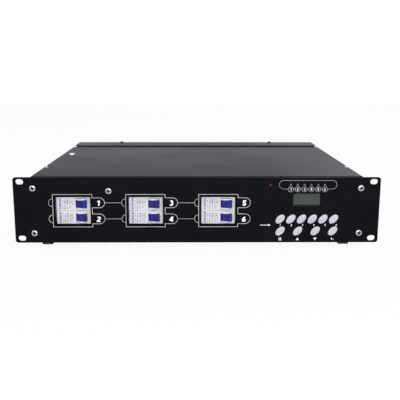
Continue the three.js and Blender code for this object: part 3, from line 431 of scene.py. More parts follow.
print("finishes")
paint = finish("black powder coat", ((12, 11, 16), (16, 15, 20)), 0.5, grain=1500, depth=0.03,
               specks=0.05, glint=0.04)
coverPaint = finish("cover powder coat", ((21, 25, 39), (24, 28, 42)), 0.26, spread=0.04, cloud=9,
                    grain=1500, specks=0.06, glint=0.007)
whitePlastic = finish("breaker housing", ((208, 207, 213), (218, 217, 221)), 0.40, depth=0.01)
bluePlastic = finish("breaker lever", ((24, 17, 104), (38, 29, 130)), 0.34, cloud=160, depth=0.01,
                     glint=0.3)
keyPlastic = finish("button plastic", ((186, 183, 193), (199, 195, 204)), 0.42, depth=0.01)
blackPlastic = finish("black nylon", ((20, 20, 22), (30, 30, 32)), 0.45)
rubber = finish("foot rubber", ((14, 14, 15), (26, 26, 27)), 0.75, grain=700, depth=0.05)
zinc = finish("zinc plate", ((176, 172, 182), (212, 209, 218)), 0.2, cloud=250, depth=0.008,
              metal=1.0)
# Painted shade: a near-black finish for a sheet at the bottom of each panel screw's cross recess,
# where the recess's depth casts shade
recessShade = finish("painted recess shade", ((16, 15, 19), (26, 25, 30)), 0.7, depth=0.005)
darkZinc = finish("black screws", ((34, 34, 38), (52, 52, 57)), 0.35, cloud=250, depth=0.01,
                  metal=0.9)
nickel = finish("nickel shell", ((150, 148, 144), (172, 170, 166)), 0.24, cloud=90, depth=0.006,
                metal=1.0)
aluminium = finish("aluminium extrusion", ((176, 178, 182), (196, 198, 202)), 0.34,
                   stretch=(1, 0.02, 1), metal=1.0)
laminate = finish("steel laminations", ((96, 96, 100), (120, 118, 118)), 0.42, grain=700,
                  depth=0.05, stretch=(1, 8, 0.05), metal=0.9)
whiteInk = finish("white ink", ((236, 236, 240), (248, 248, 250)), 0.5, grain=2500, depth=0.01)
greyInk = finish("grey ink", ((176, 174, 182), (198, 196, 202)), 0.5, grain=2500, depth=0.01)
paleBlueInk = finish("pale blue ink", ((94, 114, 160), (118, 136, 180)), 0.5, depth=0.005)
markInk = finish("grey marks", ((84, 84, 90), (106, 105, 111)), 0.5, depth=0.005)
lightClear = finish("diffused lens", ((88, 88, 88), (108, 108, 106)), 0.3, depth=0.005)
lightRed = finish("red lens", ((78, 12, 26), (96, 18, 34)), 0.3, depth=0.005)


# Camera, floor and light
view = {
    "place": (-0.0066, -1.02345, 0.2389),  # metres
    "lens": 57.22, "sensor": 36.0, "clip": (0.01, 50.0),
    "pitch": 11.910,  # degrees down
    "yaw": 0.715,  # degrees towards +X
    "roll": 0.103,
}
studio = {"ambient": 0.58, "floorSize": 6.0, "floorCorner": 1.0, "floorCloud": 3.0,
          "floorTones": ((246, 246, 248), (244, 244, 246)), "floorWhite": 0.93}
pureWhite = {"Color": (1, 1, 1, 1), "Strength": 1.0}


def makeCamera():
    made = linked("camera", bpy.data.cameras.new("camera"))
    made.data.lens, made.data.sensor_width = view["lens"], view["sensor"]
    made.data.clip_start, made.data.clip_end = view["clip"]
    turn = (Matrix.Rotation(radians(-view["yaw"]), 4, "Z")
            @ Matrix.Rotation(radians(90 - view["pitch"]), 4, "X")
            @ Matrix.Rotation(radians(view["roll"]), 4, "Z"))
    made.matrix_world = Matrix.Translation(view["place"]) @ turn
    bpy.context.scene.camera = made


# 1 where the ray comes from the camera or off metal and through glass
def sharpRays(wire):
    rays = [wire.node("LightPath", output=name)
            for name in ("Is Camera Ray", "Is Glossy Ray", "Is Transmission Ray")]
    return wire.math("ADD", rays[0] + rays[1], rays[2], clamp=True)


def makeWorld():
    world = bpy.data.worlds.new("studio")
    world.use_nodes = True
    bpy.context.scene.world = world
    wire = Wire(world.node_tree)
    soft = wire.node("Background", {"Color": (1, 1, 1, 1), "Strength": studio["ambient"]})
    white = wire.node("Background", pureWhite)
    both = wire.node("MixShader", {0: sharpRays(wire), 1: soft, 2: white})
    both.feed(world.node_tree.nodes["World Output"], "Surface")


# Pale floor: white to the camera but for the object's shadow, and open from below
def makeFloor():
    corners = roundRect(studio["floorSize"], studio["floorSize"], studio["floorCorner"])
    mesh = bpy.data.meshes.new("floor")
    mesh.from_pydata(raised(corners, 0).tolist(), [], [list(range(len(corners)))])
    floor = linked("floor", mesh)
    made, shader, place = blankMaterial("floor", {"Roughness": 0.9, "Specular IOR Level": 0.1})
    tones = [seen(*tone) for tone in studio["floorTones"]]
    place.noise(studio["floorCloud"]).mixed(*tones).feed(shader, "Base Color")
    lit = Wire(made.node_tree, shader.outputs[0])
    glow = lit.node("Emission", pureWhite)
    top = lit.node("MixShader", {0: sharpRays(lit) * studio["floorWhite"], 1: lit, 2: glow})
    below, clear = lit.node("NewGeometry", output="Backfacing"), lit.node("BsdfTransparent")
    both = lit.node("MixShader", {0: below, 1: top, 2: clear})
    both.feed(made.node_tree.nodes["Material Output"], "Surface")
    mesh.materials.append(made)


# Soft lamps: place and target in metres, size in metres, power in watts
lamps = {
    "key": {"place": (0.9, -0.9, 1.6), "target": (0, -0.1, 0), "size": 1.2, "power": 6},
    "left": {"place": (-1.4, -0.6, 1.0), "target": (0, -0.1, 0.05), "size": 1.2, "power": 4},
    "front": {"place": (0.1, -1.9, 0.7), "target": (0, -0.2, 0.05), "size": 1.0, "power": 15},
    "back": {"place": (0.9, 2.2, 1.1), "target": (0, 0.0, 0.05), "size": 1.0, "power": 4.5},
}


def makeLamps():
    for name, lamp in lamps.items():
        data = bpy.data.lights.new(name, "AREA")
        data.shape, data.size, data.energy = "DISK", lamp["size"], lamp["power"]
        aim = Vector(lamp["target"]) - Vector(lamp["place"])
        linked(name, data).matrix_world = (Matrix.Translation(lamp["place"])
                                           @ aim.to_track_quat("-Z", "Y").to_matrix().to_4x4())


print("camera and light")
bpy.context.scene.view_settings.view_transform = "Standard"
makeCamera()
makeWorld()
makeFloor()
makeLamps()

# Front panel: places on it are millimetres from its middle and from its bottom edge
panelBase = np.array([0, low("front_panel")[1], low("front_panel")[2]])
channels = range(1, 7)
channelSteps = [i - 3.5 for i in channels]  # from the middle of the six
menuKeys = ["menu_button", "up_button", "down_button", "back_button"]
keys = [f"channel_button_{i}" for i in channels] + menuKeys


def seenAt(node):
    return ((middle(node) - panelBase) / mm)[[0, 2]]


windowPlaces = [(seenAt(f"breaker_body_{i}") + seenAt(f"breaker_body_{i + 1}")) / 2
                for i in (1, 3, 5)]
screwPlaces = [seenAt(f"panel_screw_{i}") for i in range(1, 6)]
panel = {
    "size": (482.6, 88.1), "thickness": 3.0, "corner": 3.5, "edge": 0.45, "backEdge": 0.2,
    "slot": (10.3, 7.2), "slotSpan": (465.1, 76.2),
    "window": (50.0, 41.0), "windowCorner": 1.0,
    "display": (36.8, 18.3), "displayCorner": 0.6,
    "key": (7.75, 4.9), "keyTilt": 45,
    "light": 1.8, "lightPitch": 8.94,
    "screwHole": 2.3, "screwLift": 0.02,
    "stud": 2.5, "studInset": 4.0, "studSpan": 54.0, "studRoot": 0.4,
}
lightPlaces = [seenAt("channel_lights") + [step * panel["lightPitch"], 0] for step in channelSteps]


def onPanel(name, shapes, material, body="case", replaced=()):
    piece(name, shapes, "front", panelBase, material, body, replaced)


def makePanel():
    p = panel
    width, height = p["size"]
    centre = (0, height / 2)
    holes = [roundRect(*p["slot"], p["slot"][1] / 2, place, steps=12)
             for place in rectangle(*p["slotSpan"], centre)]
    holes += [roundRect(*p["window"], p["windowCorner"], place) for place in windowPlaces]
    holes += [oval(*p["key"], radians(p["keyTilt"]), seenAt(key)) for key in keys]
    holes += [circle(p["light"], place, few) for place in [*lightPlaces, seenAt("status_light")]]
    holes += [circle(p["screwHole"], place, few) for place in screwPlaces]
    holes.append(roundRect(*p["display"], p["displayCorner"], seenAt("display_lens")))
    shapes = [plate(roundRect(width, height, p["corner"], centre), holes,
                    edges(p["thickness"], p["edge"], p["backEdge"]))]
    left, _, bottom = (low("control_board") - panelBase) / mm + p["studInset"]
    right = ((high("control_board") - panelBase) / mm - p["studInset"])[0]
    ends = p["studRoot"] - p["thickness"], (panelBase[1] - high("front_panel")[1]) / mm
    shapes += [rod(p["stud"], *ends, (x, y)) for x in (left, right)
               for y in (bottom, bottom + p["studSpan"])]
    onPanel("panel_plate", shapes, paint, replaced=["front_panel"])


# Printing, raised by the thickness of the ink; styles are a numeral's weight, lean and width
printing = {
    "rise": 0.06, "sink": -0.05,
    "line": 0.64, "link": 0.5, "frameX": 25.85, "frameTop": 22.9, "frameBottom": -20.9,
    "tab": 6.65, "tabX": 35.6, "tabRise": (11.7, -10.0), "loop": 5.5, "steps": 20,
    "numeral": 7.2, "numeralX": 34.1, "numeralRise": (11.3, -10.5),
    "numeralStyle": (0.25, 0.12, 1.2), "dialStyle": (0.2, 0.0, 1.0), "keyStyle": (0.19, 0.2, 1.0),
    "barSize": (75.8, 11.4), "barPlace": (145.5, 78.3), "barLine": 0.34,
    "dial": 3.4, "dialLine": 0.42, "dialRise": 72.3, "dialNumeral": 3.5,
    "keyNumeral": 2.7, "keyNumeralRise": 23.9, "keyNumeralPitch": 15.0, "keyNumeralX": 147.6,
    "signRise": 4.8, "signSize": 3.6, "signLine": 0.2, "bar": 1.1, "barStep": 0.38, "bend": 0.3,
    "pointer": 13.0, "pointerX": 90.0, "pointerLine": 0.22, "tipLength": 0.5,
}


def inkLine(path, width, closed=False):
    return ribbon(path, width, printing["rise"], printing["sink"], closed)


def inked(outline):
    return slab(outline, printing["sink"], printing["rise"])


# Strokes of the numerals 1 to 6, in a box one high
strokes = [
    [[(-0.15, 0.22), (0.1, 0.4)], [(0.1, 0.5), (0.1, -0.5)]],
    [[*arc(0.19, 165, -35, (0, 0.2)), (-0.19, -0.39)], [(-0.29, -0.39), (0.28, -0.39)]],
    [arc(0.18, 150, -90, (-0.01, 0.2)), arc(0.2, 90, -150, (0, -0.19))],
    [[(0.12, 0.5), (0.12, -0.5)], [(0.06, 0.46), (-0.2, -0.14)], [(-0.3, -0.17), (0.28, -0.17)]],
    [[(-0.2, 0.39), (0.26, 0.39)], [(-0.11, 0.42), (-0.15, 0)], arc(0.21, 145, -145, (0, -0.18))],
    [arc(0.2, -10, 190, (0, -0.19)), arc(0.2, 170, 370, (0, -0.19)),
     arc(0.62, 182, 118, (0.42, -0.17))],
]


# A numeral: its strokes as lines of ink, slanted and joined into one flat solid
def numeral(digit, height, centre, style):
    weight, lean, wide = style
    slant = np.array([[wide, 0], [lean, 1]]) * height
    lines = [inkLine(np.array(stroke) @ slant + centre, weight * height)
             for stroke in strokes[digit - 1]]
    return carved(lines[0], lines[1:], "UNION")


# Frame round a window: a rectangle that opens into two round-ended tabs on its right
def windowFrame(centre):
    p, x, tab = printing, printing["frameX"], printing["tab"]
    path = [[(-x, p["frameTop"]), (-x, p["frameBottom"]), (x, p["frameBottom"])]]
    for rise in reversed(p["tabRise"]):
        path += [[(x, rise - tab)], arc(tab, -90, 90, (p["tabX"], rise), p["steps"]),
                 [(x, rise + tab)]]
    path.append([(x, p["frameTop"])])
    return inkLine(np.concatenate(path) + centre, p["line"], closed=True)


# A half round on each window's left at both tabs' rises, linked to the tab of the window before
def makeLines():
    p, loop = printing, printing["loop"]
    shapes = [windowFrame(place) for place in windowPlaces]
    for number, (x, y) in enumerate(windowPlaces):
        left = x - p["frameX"]
        for level in y + np.array(p["tabRise"]):
            lines = [arc(loop, 90, 270, (left, level), p["steps"])]
            if number:
                start = windowPlaces[number - 1][0] + p["tabX"] + p["tab"]
                lines.append([[start, level], [left - loop, level]])
            shapes += [inkLine(line, p["link"]) for line in lines]
    onPanel("panel_lines", shapes, greyInk)


# Outline round the channel lights, broken by the numbered rings on its lower line
def makeLightRings():
    p, ring = printing, printing["dial"]
    width, height = p["barSize"]
    x, y = p["barPlace"]
    radius = height / 2
    reach, lower = width / 2 - radius, y - radius
    places = [place[0] for place in lightPlaces]
    lines = [np.concatenate([
        [[places[-1] + ring, lower]],
        arc(radius, -90, 90, (x + reach, y), p["steps"]),
        arc(radius, 90, 270, (x - reach, y), p["steps"]),
        [[places[0] - ring, lower]],
    ])]
    lines += [[[left + ring, lower], [right - ring, lower]]
              for left, right in zip(places, places[1:])]
    shapes = [inkLine(line, p["barLine"]) for line in lines]
    shapes += [inkLine(circle(ring, (place, p["dialRise"]), count=40), p["dialLine"], closed=True)
               for place in places]
    onPanel("light_rings", shapes, greyInk)


def makeNumbers():
    p = printing
    shapes = []
    for window, place in enumerate(windowPlaces):
        for row, rise in enumerate(p["numeralRise"]):
            at = place + [p["numeralX"], rise]
            shapes.append(numeral(2 * window + row + 1, p["numeral"], at, p["numeralStyle"]))
    for i, step, (x, _) in zip(channels, channelSteps, lightPlaces):
        shapes.append(numeral(i, p["dialNumeral"], (x, p["dialRise"]), p["dialStyle"]))
        at = (p["keyNumeralX"] + step * p["keyNumeralPitch"], p["keyNumeralRise"])
        shapes.append(numeral(i, p["keyNumeral"], at, p["keyStyle"]))
    onPanel("panel_numbers", shapes, whiteInk)


# Shares of a sign's size
signs = {
    "triangle": [[-0.62, -0.45], [0.62, -0.45], [0, 0.55]],
    "head": [[-0.75, 0.1], [-0.2, -0.35], [-0.2, 0.55]],
    "arrow": [[-0.3, 0.1], [0.35, 0.1], [0.35, -0.45]],
    "tip": [[-0.5, -0.42], [0.25, 0], [-0.5, 0.42]],
}


# Signs under the menu buttons, a list, two triangles and a bent arrow, and a pointer to the numbers
def makeSigns():
    p, size, end = printing, printing["signSize"], printing["pointer"] / 2
    line = size * p["signLine"]
    triangle, head, arrow, tip = (np.array(sign) * size for sign in signs.values())
    corner = softened(arrow, size * p["bend"])[5:10]  # the curve round its middle point
    under = {
        "menu_button": [inked(rectangle(size * p["bar"], line, (0, step * size * p["barStep"])))
                        for step in (-1, 0, 1)],
        "up_button": [inked(triangle)],
        "down_button": [inked(triangle[::-1] * [1, -1])],
        "back_button": [inked(head), inkLine(corner, line), inkLine(arrow[:2], line),
                        inkLine(arrow[1:], line)],
    }
    shapes = [moved(shape, seenAt(key)[0], p["signRise"])
              for key in menuKeys for shape in under[key]]
    stem = inkLine([[-end, 0], [end - size * p["tipLength"], 0]], size * p["pointerLine"])
    shapes += [moved(shape, p["pointerX"], p["keyNumeralRise"])
               for shape in (stem, inked(tip + [end, 0]))]
    onPanel("menu_signs", shapes, whiteInk)


# Heads of the screws, what their drives have in common, and two shanks: radius, top and bottom
heads = {
    "panel": {"radius": 4.35, "height": 2.95, "drive": "cross", "arm": 2.35, "depth": 2.1},
    "cover": {"radius": 2.9, "height": 1.9, "drive": "cross", "arm": 1.6, "depth": 1.1},
    "foot": {"radius": 2.9, "height": 1.8, "drive": "cross", "arm": 1.6, "depth": 1.0},
    "socket": {"radius": 2.2, "height": 1.3, "drive": "cross", "arm": 1.3, "depth": 0.8},
    "bolt": {"radius": 4.75, "height": 3.4, "drive": "hexagon", "arm": 2.3, "depth": 2.0},
}
# The floor entries size and place the cross of painted shade at the bottom of a recess
driveForm = {"blade": 0.36, "wall": 0.3, "rim": 0.08, "floorArm": 0.94, "floorBlade": 0.9,
             "floorLift": 0.12, "floorThickness": 0.3}
shanks = {"panel": (2.0, 0.1, -11.0), "bolt": (2.9, 0.1, -6.5)}


# Screw head: a dome of height(r) = h (1 - (r/R)^p)^(1/p), sunk where the drive's outline is.
# The drive's distance is the smaller of two crossed arms' for a cross, or a hexagon's
def screwHead(radius, height, drive, arm, depth, power=3.2, count=72, rings=44):
    t = np.linspace(0, 1, rings + 1)[1:, None]
    angle = fullTurn(count)
    r = radius * (2 * t - t**2)
    x, y = abs(r * np.cos(angle)), abs(r * np.sin(angle))
    if drive == "cross":
        blade = arm * driveForm["blade"]
        distance = np.minimum(np.maximum(x - arm, y - blade), np.maximum(y - arm, x - blade))
    else:
        distance = r * np.cos(np.mod(angle + pi / 6, pi / 3) - pi / 6) - arm
    wall = np.clip(0.5 - distance / driveForm["wall"], 0, 1)
    level = height * (1 - (r / radius) ** power) ** (1 / power)
    level = np.maximum(level - depth * wall * wall * (3 - 2 * wall), height * driveForm["rim"])
    return surface(np.concatenate([polar(r, angle, level), polar(r[-1:], angle, 0)]))


# Painted shade at the bottom of a cross recess: a dark cross like the drive's, a little smaller,
# standing in for the shade inside the deep recess
def paintedShadeCross(size):
    a = size["arm"] * driveForm["floorArm"]
    b = size["arm"] * driveForm["blade"] * driveForm["floorBlade"]
    corner = np.array([[a, -b], [a, b], [b, b]])
    outline = np.concatenate([corner @ spin(i * pi / 2) for i in range(4)])
    level = size["height"] - size["depth"] + driveForm["floorLift"]
    return slab(outline, level - driveForm["floorThickness"], level)


# A screw: its head and its shank in one
def screw(kind):
    return combined([screwHead(**heads[kind]), rod(*shanks[kind])])


def makePanelScrews():
    shapes = screw("panel"), paintedShadeCross(heads["panel"])
    for i, place in enumerate(screwPlaces, 1):
        head, floor = (moved(shape, *place, panel["screwLift"]) for shape in shapes)
        onPanel(f"panel_screw_head_{i}", [head], zinc, replaced=[f"panel_screw_{i}"])
        # A dark cross of painted shade sits inside each head's recess
        onPanel(f"panel_screw_painted_shade_{i}", [floor], recessShade)


# Breakers, lying on their side: half of the outline seen from above, x across and y back from the
# nose; the lever turns in a pocket between two cheeks, and a well goes into each shoulder
breaker = {
    "half": ((21.8, 0), (22.5, 0.7), (22.5, 16), (40.5, 16), (43, 18.5), (43, 66), (16.2, 66),
             (16.2, 61.6), (17.8, 61.6), (17.8, 60)),
    "back": 66.0, "thickness": 17.9, "round": 0.6, "edge": 0.35,
    "pivot": (10.6, 7.0), "pocket": 10.2, "pocketWidth": 10.5, "pocketMouth": -20.0,
    "cheek": 10.6, "cheekWidth": 15.7, "cheekEdge": 1.8,
    "wellX": 35.0, "well": 3.0, "wellEnds": (14.0, 24.0),
}


def breakerShape():
    b = breaker
    half, pivot, pocket, mouth = np.array(b["half"]), b["pivot"], b["pocket"], b["pocketMouth"]
    outline = softened(np.concatenate([half, half[::-1] * [-1, 1]]), b["round"])
    cheek = centred(circle(b["cheek"], pivot, count=72), b["cheekWidth"], b["cheekEdge"])
    housing = carved(centred(outline, b["thickness"], b["edge"]), [cheek], "UNION")
    meet = degrees(atan2(pivot[1], sqrt(pocket**2 - pivot[1] ** 2)))
    left, right = pivot[0] - pocket, pivot[0] + pocket
    cut = np.concatenate([arc(pocket, -meet, 180 + meet, pivot, steps=60),
                          [[left, 0], [left, mouth], [right, mouth], [right, 0]]])
    well = rod(b["well"], *b["wellEnds"])
    wells = [turnedTo(well, "back", (side * b["wellX"], 0, 0)) for side in (-1, 1)]
    return carved(housing, [centred(cut, b["pocketWidth"]), *wells])


# Lever: a drum, with a paddle whose outline in polar form is the larger of the drum's radius and
# the paddle tip's, blended; it leans by the rest angle
lever = {
    "drum": 9.6, "tip": 13.4, "tipRadius": 3.0, "width": 9.9, "edge": 0.5, "lean": 24,
    "blend": 0.9, "leastSine": 0.2, "axle": (1.5, 6.9, -6.9),
}


def leverShape():
    v = lever
    angle = fullTurn(count=180)
    curve = v["tipRadius"]
    reach = v["tip"] - curve
    offset = np.abs(np.mod(angle + pi / 2 + pi, 2 * pi) - pi)
    side, front = reach * np.sin(offset), offset < pi / 2
    tip = reach * np.cos(offset) + np.sqrt(curve**2 - np.minimum(side, curve) ** 2)
    tip = np.where(front & (side < curve), tip, 0)
    tip = np.maximum(tip, curve / np.maximum(np.sin(offset), v["leastSine"]) * front)
    tip = np.minimum(tip, v["tip"])
    radius = v["blend"] * np.logaddexp(v["drum"] / v["blend"], tip / v["blend"])
    radius = np.minimum(radius, v["tip"])[:, None]
    body = centred(heading(angle) * radius @ spin(radians(v["lean"])), v["width"], v["edge"])
    return combined([body, rod(*v["axle"])])


# Marks on a breaker's nose: a ladder of pale blue bars, grey dots, and made-up switch signs
marks = {
    "rise": 0.04, "sink": -0.05,
    "stripeX": -17.5, "stripeWidth": 2.7, "stripeBars": 7, "barHeight": 1.75, "barPitch": 2.2,
    "narrow": 0.7, "barCorner": 0.3, "line": 0.45, "dot": 0.6, "ring": 1.2,
    "dots": ((-14.3, 4.6), (-14.3, 1.9), (-14.3, -2.8), (-14.3, -5.6)),
    "rings": ((-11.0, 2.2),),
    "lines": (
        ((-11.0, 6.4), (-11.0, 3.4)), ((-11.0, 1.0), (-10.0, -2.6)), ((-7.6, 6.6), (-7.6, -2.6)),
        ((-4.4, -5.6), (-4.4, 5.2), (-0.9, 5.2), (-0.9, -2.0)), ((-4.4, -5.6), (-1.8, -5.6)),
    ),
    "blocks": (
        ((1.8, 1.0), (-11.2, -3.9)), ((1.4, 1.2), (-11.3, -6.2)), ((2.2, 0.9), (-7.6, 4.5)),
        ((2.2, 0.9), (-7.6, 1.6)), ((2.2, 0.6), (-7.6, -4.4)), ((2.2, 0.6), (-7.6, -6.0)),
        ((1.4, 1.4), (-2.6, 2.2)), ((1.6, 0.5), (-2.6, -2.9)),
    ),
}


def makeMarks(number, origin):
    m = marks
    bars = []
    for i in range(m["stripeBars"]):
        width = m["stripeWidth"] * (m["narrow"] if i % 3 == 1 else 1)
        at = (m["stripeX"], (i - (m["stripeBars"] - 1) / 2) * m["barPitch"])
        bars.append(roundRect(width, m["barHeight"], m["barCorner"], at, steps=3))
    fills = [circle(m["dot"], at, count=20) for at in m["dots"]]
    fills += [rectangle(*size, at) for size, at in m["blocks"]]
    lines = [ribbon(path, m["line"], m["rise"], m["sink"]) for path in m["lines"]]
    lines += [ribbon(circle(m["ring"], at, few), m["line"], m["rise"], m["sink"], closed=True)
              for at in m["rings"]]
    bars, fills = ([slab(outline, m["sink"], m["rise"]) for outline in group]
                   for group in (bars, fills))
    piece(f"breaker_stripe_{number}", bars, "front", origin, paleBlueInk)
    piece(f"breaker_marks_{number}", lines + fills, "front", origin, markInk)


def makeBreakers():
    housing, rocker = breakerShape(), leverShape()
    noseFace = high("breaker_body_1")[1] - breaker["back"] * mm
    for i in channels:
        base = middleAt(f"breaker_body_{i}", 1, noseFace)
        piece(f"breaker_housing_{i}", [housing], "up", base, whitePlastic,
              replaced=[f"breaker_body_{i}"])
        pivot = base + np.array([*breaker["pivot"], 0]) * mm
        piece(f"breaker_rocker_{i}", [rocker], "up", pivot, bluePlastic,
              f"lever_{i}", [f"breaker_lever_{i}"])
        makeMarks(i, base)


# Push button: ovals whose half axes and level follow the cap's crown, its side, the collar behind
# the panel and the stem. The crown's rings lie at the inner and outer shares of the whole
button = {
    "major": 7.3, "minor": 4.5, "tilt": 45, "proud": 1.3, "crown": 0.75, "power": 3.4,
    "inner": (0.02, 0.5, 0.8, 1.0, 1.3), "outer": (1.6, 6.0, 12), "whole": 6.13,
    "dimple": 0.75, "dimpleDepth": 0.22, "rim": 0.35, "rimRows": 4,
    "collar": 0.9, "collarFront": -3.35, "collarBack": -4.25, "stem": 2.5, "stemEnd": -6.0,
}


def buttonShape():
    b = button
    share = np.concatenate([b["inner"], np.linspace(*b["outer"])]) / b["whole"]
    level = b["proud"] - b["crown"] * share ** b["power"]
    level -= b["dimpleDepth"] * np.clip(1 - (share * b["minor"] / b["dimple"]) ** 2, 0, 1)
    rows = [(b["major"] * s, b["minor"] * s, z) for s, z in zip(share, level)]
    for turn in np.linspace(0, pi / 2, b["rimRows"] + 1)[1:]:
        rim, drop = b["rim"] * (1 - sin(turn)), b["crown"] + b["rim"] * (1 - cos(turn))
        rows.append((b["major"] - rim, b["minor"] - rim, b["proud"] - drop))
    wide, stem = (b["major"] + b["collar"], b["minor"] + b["collar"]), (b["stem"], b["stem"])
    rows += [(b["major"], b["minor"], b["collarFront"]), (*wide, b["collarFront"]),
             (*wide, b["collarBack"]), (*stem, b["collarBack"]), (*stem, b["stemEnd"])]
    tilt = radians(b["tilt"])
    return surface(np.stack([raised(oval(major, minor, tilt), z) for major, minor, z in rows]))


def makeButtons():
    shape = buttonShape()
    for key in keys:
        onPanel(f"{key}_cap", [moved(shape, *seenAt(key))], keyPlastic,
                key.replace("button", "key"), [key])


# The case: a folded tray, measured from its front lower edge, x across, y back and z up
tray = {
    "size": (440.0, 386.7, 84.7), "sheet": 1.2, "bend": 1.8, "edge": 0.3,
    "sideLip": 20.0, "endLip": 14.0, "windowHole": (46.4, 37.6),
    "control": (107.0, 76.0, 2.0, (145.5, 44.8)),
    "vents": 10, "vent": (3.5, 42.0), "ventPitch": 14.0, "ventPlace": (150.0, 40.0),
    "screwHole": 2.3, "boltHole": 3.3, "clearance": 0.3, "over": 5.0,
    "grilleRings": 4, "grilleRadius": 8.5, "grillePitch": 6.0, "grilleWidth": 3.5,
    "grilleArcs": 3, "grilleBridge": 4.0, "sideSteps": 14, "endSteps": 8,
}
trayBase = np.array([0, low("chassis_tray")[1], low("chassis_tray")[2]])
rearFace = high("chassis_tray")[1]


# Where a piece of the rear wall stands, as seen from behind
def rearPlace(node):
    return ((middle(node) - trayBase) / mm)[[0, 2]] * [-1, 1]


def onRear(name, shapes, node, material, replaced=(), sharp=35):
    origin = middleAt(node, 1, rearFace)
    piece(name, shapes, "back", origin, material, "case", replaced, sharp)


# A curved slot of the grille: out along one radius and back along the other, with round ends
def arcSlot(radius, width, start, end, centre):
    half = width / 2
    tips = [heading(angle) * radius + centre for angle in (start, end)]
    start, end, long, short = degrees(start), degrees(end), tray["sideSteps"], tray["endSteps"]
    return np.concatenate([
        arc(radius + half, start, end, centre, long),
        arc(half, end, end + 180, tips[1], short)[1:-1],
        arc(radius - half, end, start, centre, long),
        arc(half, start - 180, start, tips[0], short)[1:-1],
    ])


def grille(centre):
    for ring in range(tray["grilleRings"]):
        radius = tray["grilleRadius"] + ring * tray["grillePitch"]
        half = pi / tray["grilleArcs"] - tray["grilleBridge"] / 2 / radius
        for i in range(tray["grilleArcs"]):
            mirrored = pi - (2 * i + 1) * pi / tray["grilleArcs"]
            yield arcSlot(radius, tray["grilleWidth"], mirrored - half, mirrored + half, centre)


def makeTray():
    width, depth, height = tray["size"]
    sheet, over = tray["sheet"], tray["over"]
    side, lip = (width - sheet) / 2, width / 2 - tray["sideLip"]
    half = np.array([[side, sheet / 2], [side, height - sheet / 2], [lip, height - sheet / 2]])
    path = np.concatenate([half[::-1] * [-1, 1], half])
    channel = ribbon(bent(path, tray["bend"]), sheet, -sheet / 2, sheet / 2 - depth)
    wall = roundRect(width, height, tray["bend"] + sheet / 2, (0, height / 2))
    rise = [0, (panelBase[2] - trayBase[2]) / mm]
    holes = [rectangle(*tray["windowHole"], place + rise) for place in windowPlaces]
    holes.append(roundRect(*tray["control"]))
    holes += [circle(tray["screwHole"], place + rise, few) for place in screwPlaces]
    bores = {
        "mains_gland": gland["mains"]["thread"],
        **{node: gland["output"]["thread"] for node in outputGlands},
        "signal_inlet": socket["shell"], "signal_outlet": socket["shell"],
        "earth_stud": earth["thread"],
    }
    rearHoles = [circle(radius + tray["clearance"], rearPlace(node))
                 for node, radius in bores.items()]
    rearHoles += grille(rearPlace("fan_rotor"))
    shapes = [turnedTo(channel, "front"),
              turnedTo(slab(wall, -sheet, 0, holes, tray["edge"]), "front"),
              turnedTo(slab(wall, -sheet, 0, rearHoles, tray["edge"]), "back", (0, depth, 0))]
    for start in (sheet / 2, depth - tray["endLip"]):
        end = start + tray["endLip"] - sheet / 2
        corner = rectangle(2 * side, end - start, (0, (start + end) / 2))
        shapes.append(slab(corner, height - sheet, height))
    folded = carved(shapes[0], shapes[1:], "UNION")
    slots = []
    for i in range(tray["vents"]):
        place = (tray["ventPlace"][0] + i * tray["ventPitch"], tray["ventPlace"][1])
        outline = roundRect(*tray["vent"], tray["vent"][0] / 2, place, steps=10)
        slots.append(turnedTo(centred(outline, width + 2 * over), "right"))
    bolt = ((middle("cover_bolt") - trayBase) / mm)[:2]
    slots.append(slab(circle(tray["boltHole"], bolt, few), height - over, height + over))
    piece("tray_sheet", [carved(folded, [combined(slots)])], "up", trayBase, paint,
          replaced=["chassis_tray"])


# Covers: the lid with its narrow sides, and the strip with its lips over the wiring space
cover = {"sheet": 1.2, "corner": 1.2, "edge": 0.35, "lipFront": 8.3, "boltHole": 3.3, "bend": 0.8,
         "over": 5.0}


def makeCovers():
    sheet, front, over = cover["sheet"], cover["lipFront"], cover["over"]
    width, depth, height = extent("top_cover")
    place = np.array([0, low("top_cover")[1], high("top_cover")[2]])
    side = width / 2 - sheet / 2
    path = np.array([[-side, -height], [-side, -sheet / 2], [side, -sheet / 2], [side, -height]])
    folded = turnedTo(ribbon(bent(path, cover["bend"] + sheet / 2), sheet, 0, -depth), "front")
    bolt = ((middle("cover_bolt") - place) / mm)[:2]
    lid = carved(folded, [slab(circle(cover["boltHole"], bolt, few), -over, over)])
    piece("lid_sheet", [lid], "up", place, coverPaint, replaced=["top_cover"])
    width, depth, height = extent("service_cover")
    block = slab(roundRect(width, depth, cover["corner"], (0, depth / 2)), 0, height,
                 edge=cover["edge"])
    pocket = rectangle(width - 2 * sheet, depth, (0, depth / 2 - sheet))
    step = rectangle(width + 2 * over, front + 2 * over, (0, front / 2 - over))
    strip = carved(block, [slab(outline, -over, height - sheet) for outline in (pocket, step)])
    place = np.array([0, *low("service_cover")[1:]])
    piece("strip_sheet", [strip], "up", place, coverPaint,
          replaced=["service_cover"])


# Screws of the covers and under the floor, x across and y back from the panel, let in a little
coverScrews = {
    "lid": ("up", high("top_cover")[2], zinc, "zinc_steel",
            [(-217.6, 92), (217.6, 92), (-217.6, 329), (217.6, 329)]),
    "strip": ("up", high("service_cover")[2], darkZinc, "case_paint", [(-140, 385), (140, 385)]),
    "floor": ("down", trayBase[2], darkZinc, "case_paint",
              [(-62.5, 6.2), (48, 6.2), (-150, 378), (150, 378)]),
}
letIn = 0.01


def makeCoverScrews():
    head = moved(screwHead(**heads["cover"]), z=-letIn)
    for part, (facing, level, material, slot, places) in coverScrews.items():
        for i, (x, y) in enumerate(places, 1):
            place = np.array([x * mm, panelBase[1] + y * mm, level])
            piece(f"{part}_screw_{i}", [head], facing, place, material)
    place = middleAt("cover_bolt", 2, high("cover_bolt")[2] - heads["bolt"]["height"] * mm)
    piece("cover_bolt_head", [screw("bolt")], "up", place, zinc,
          replaced=["cover_bolt"])


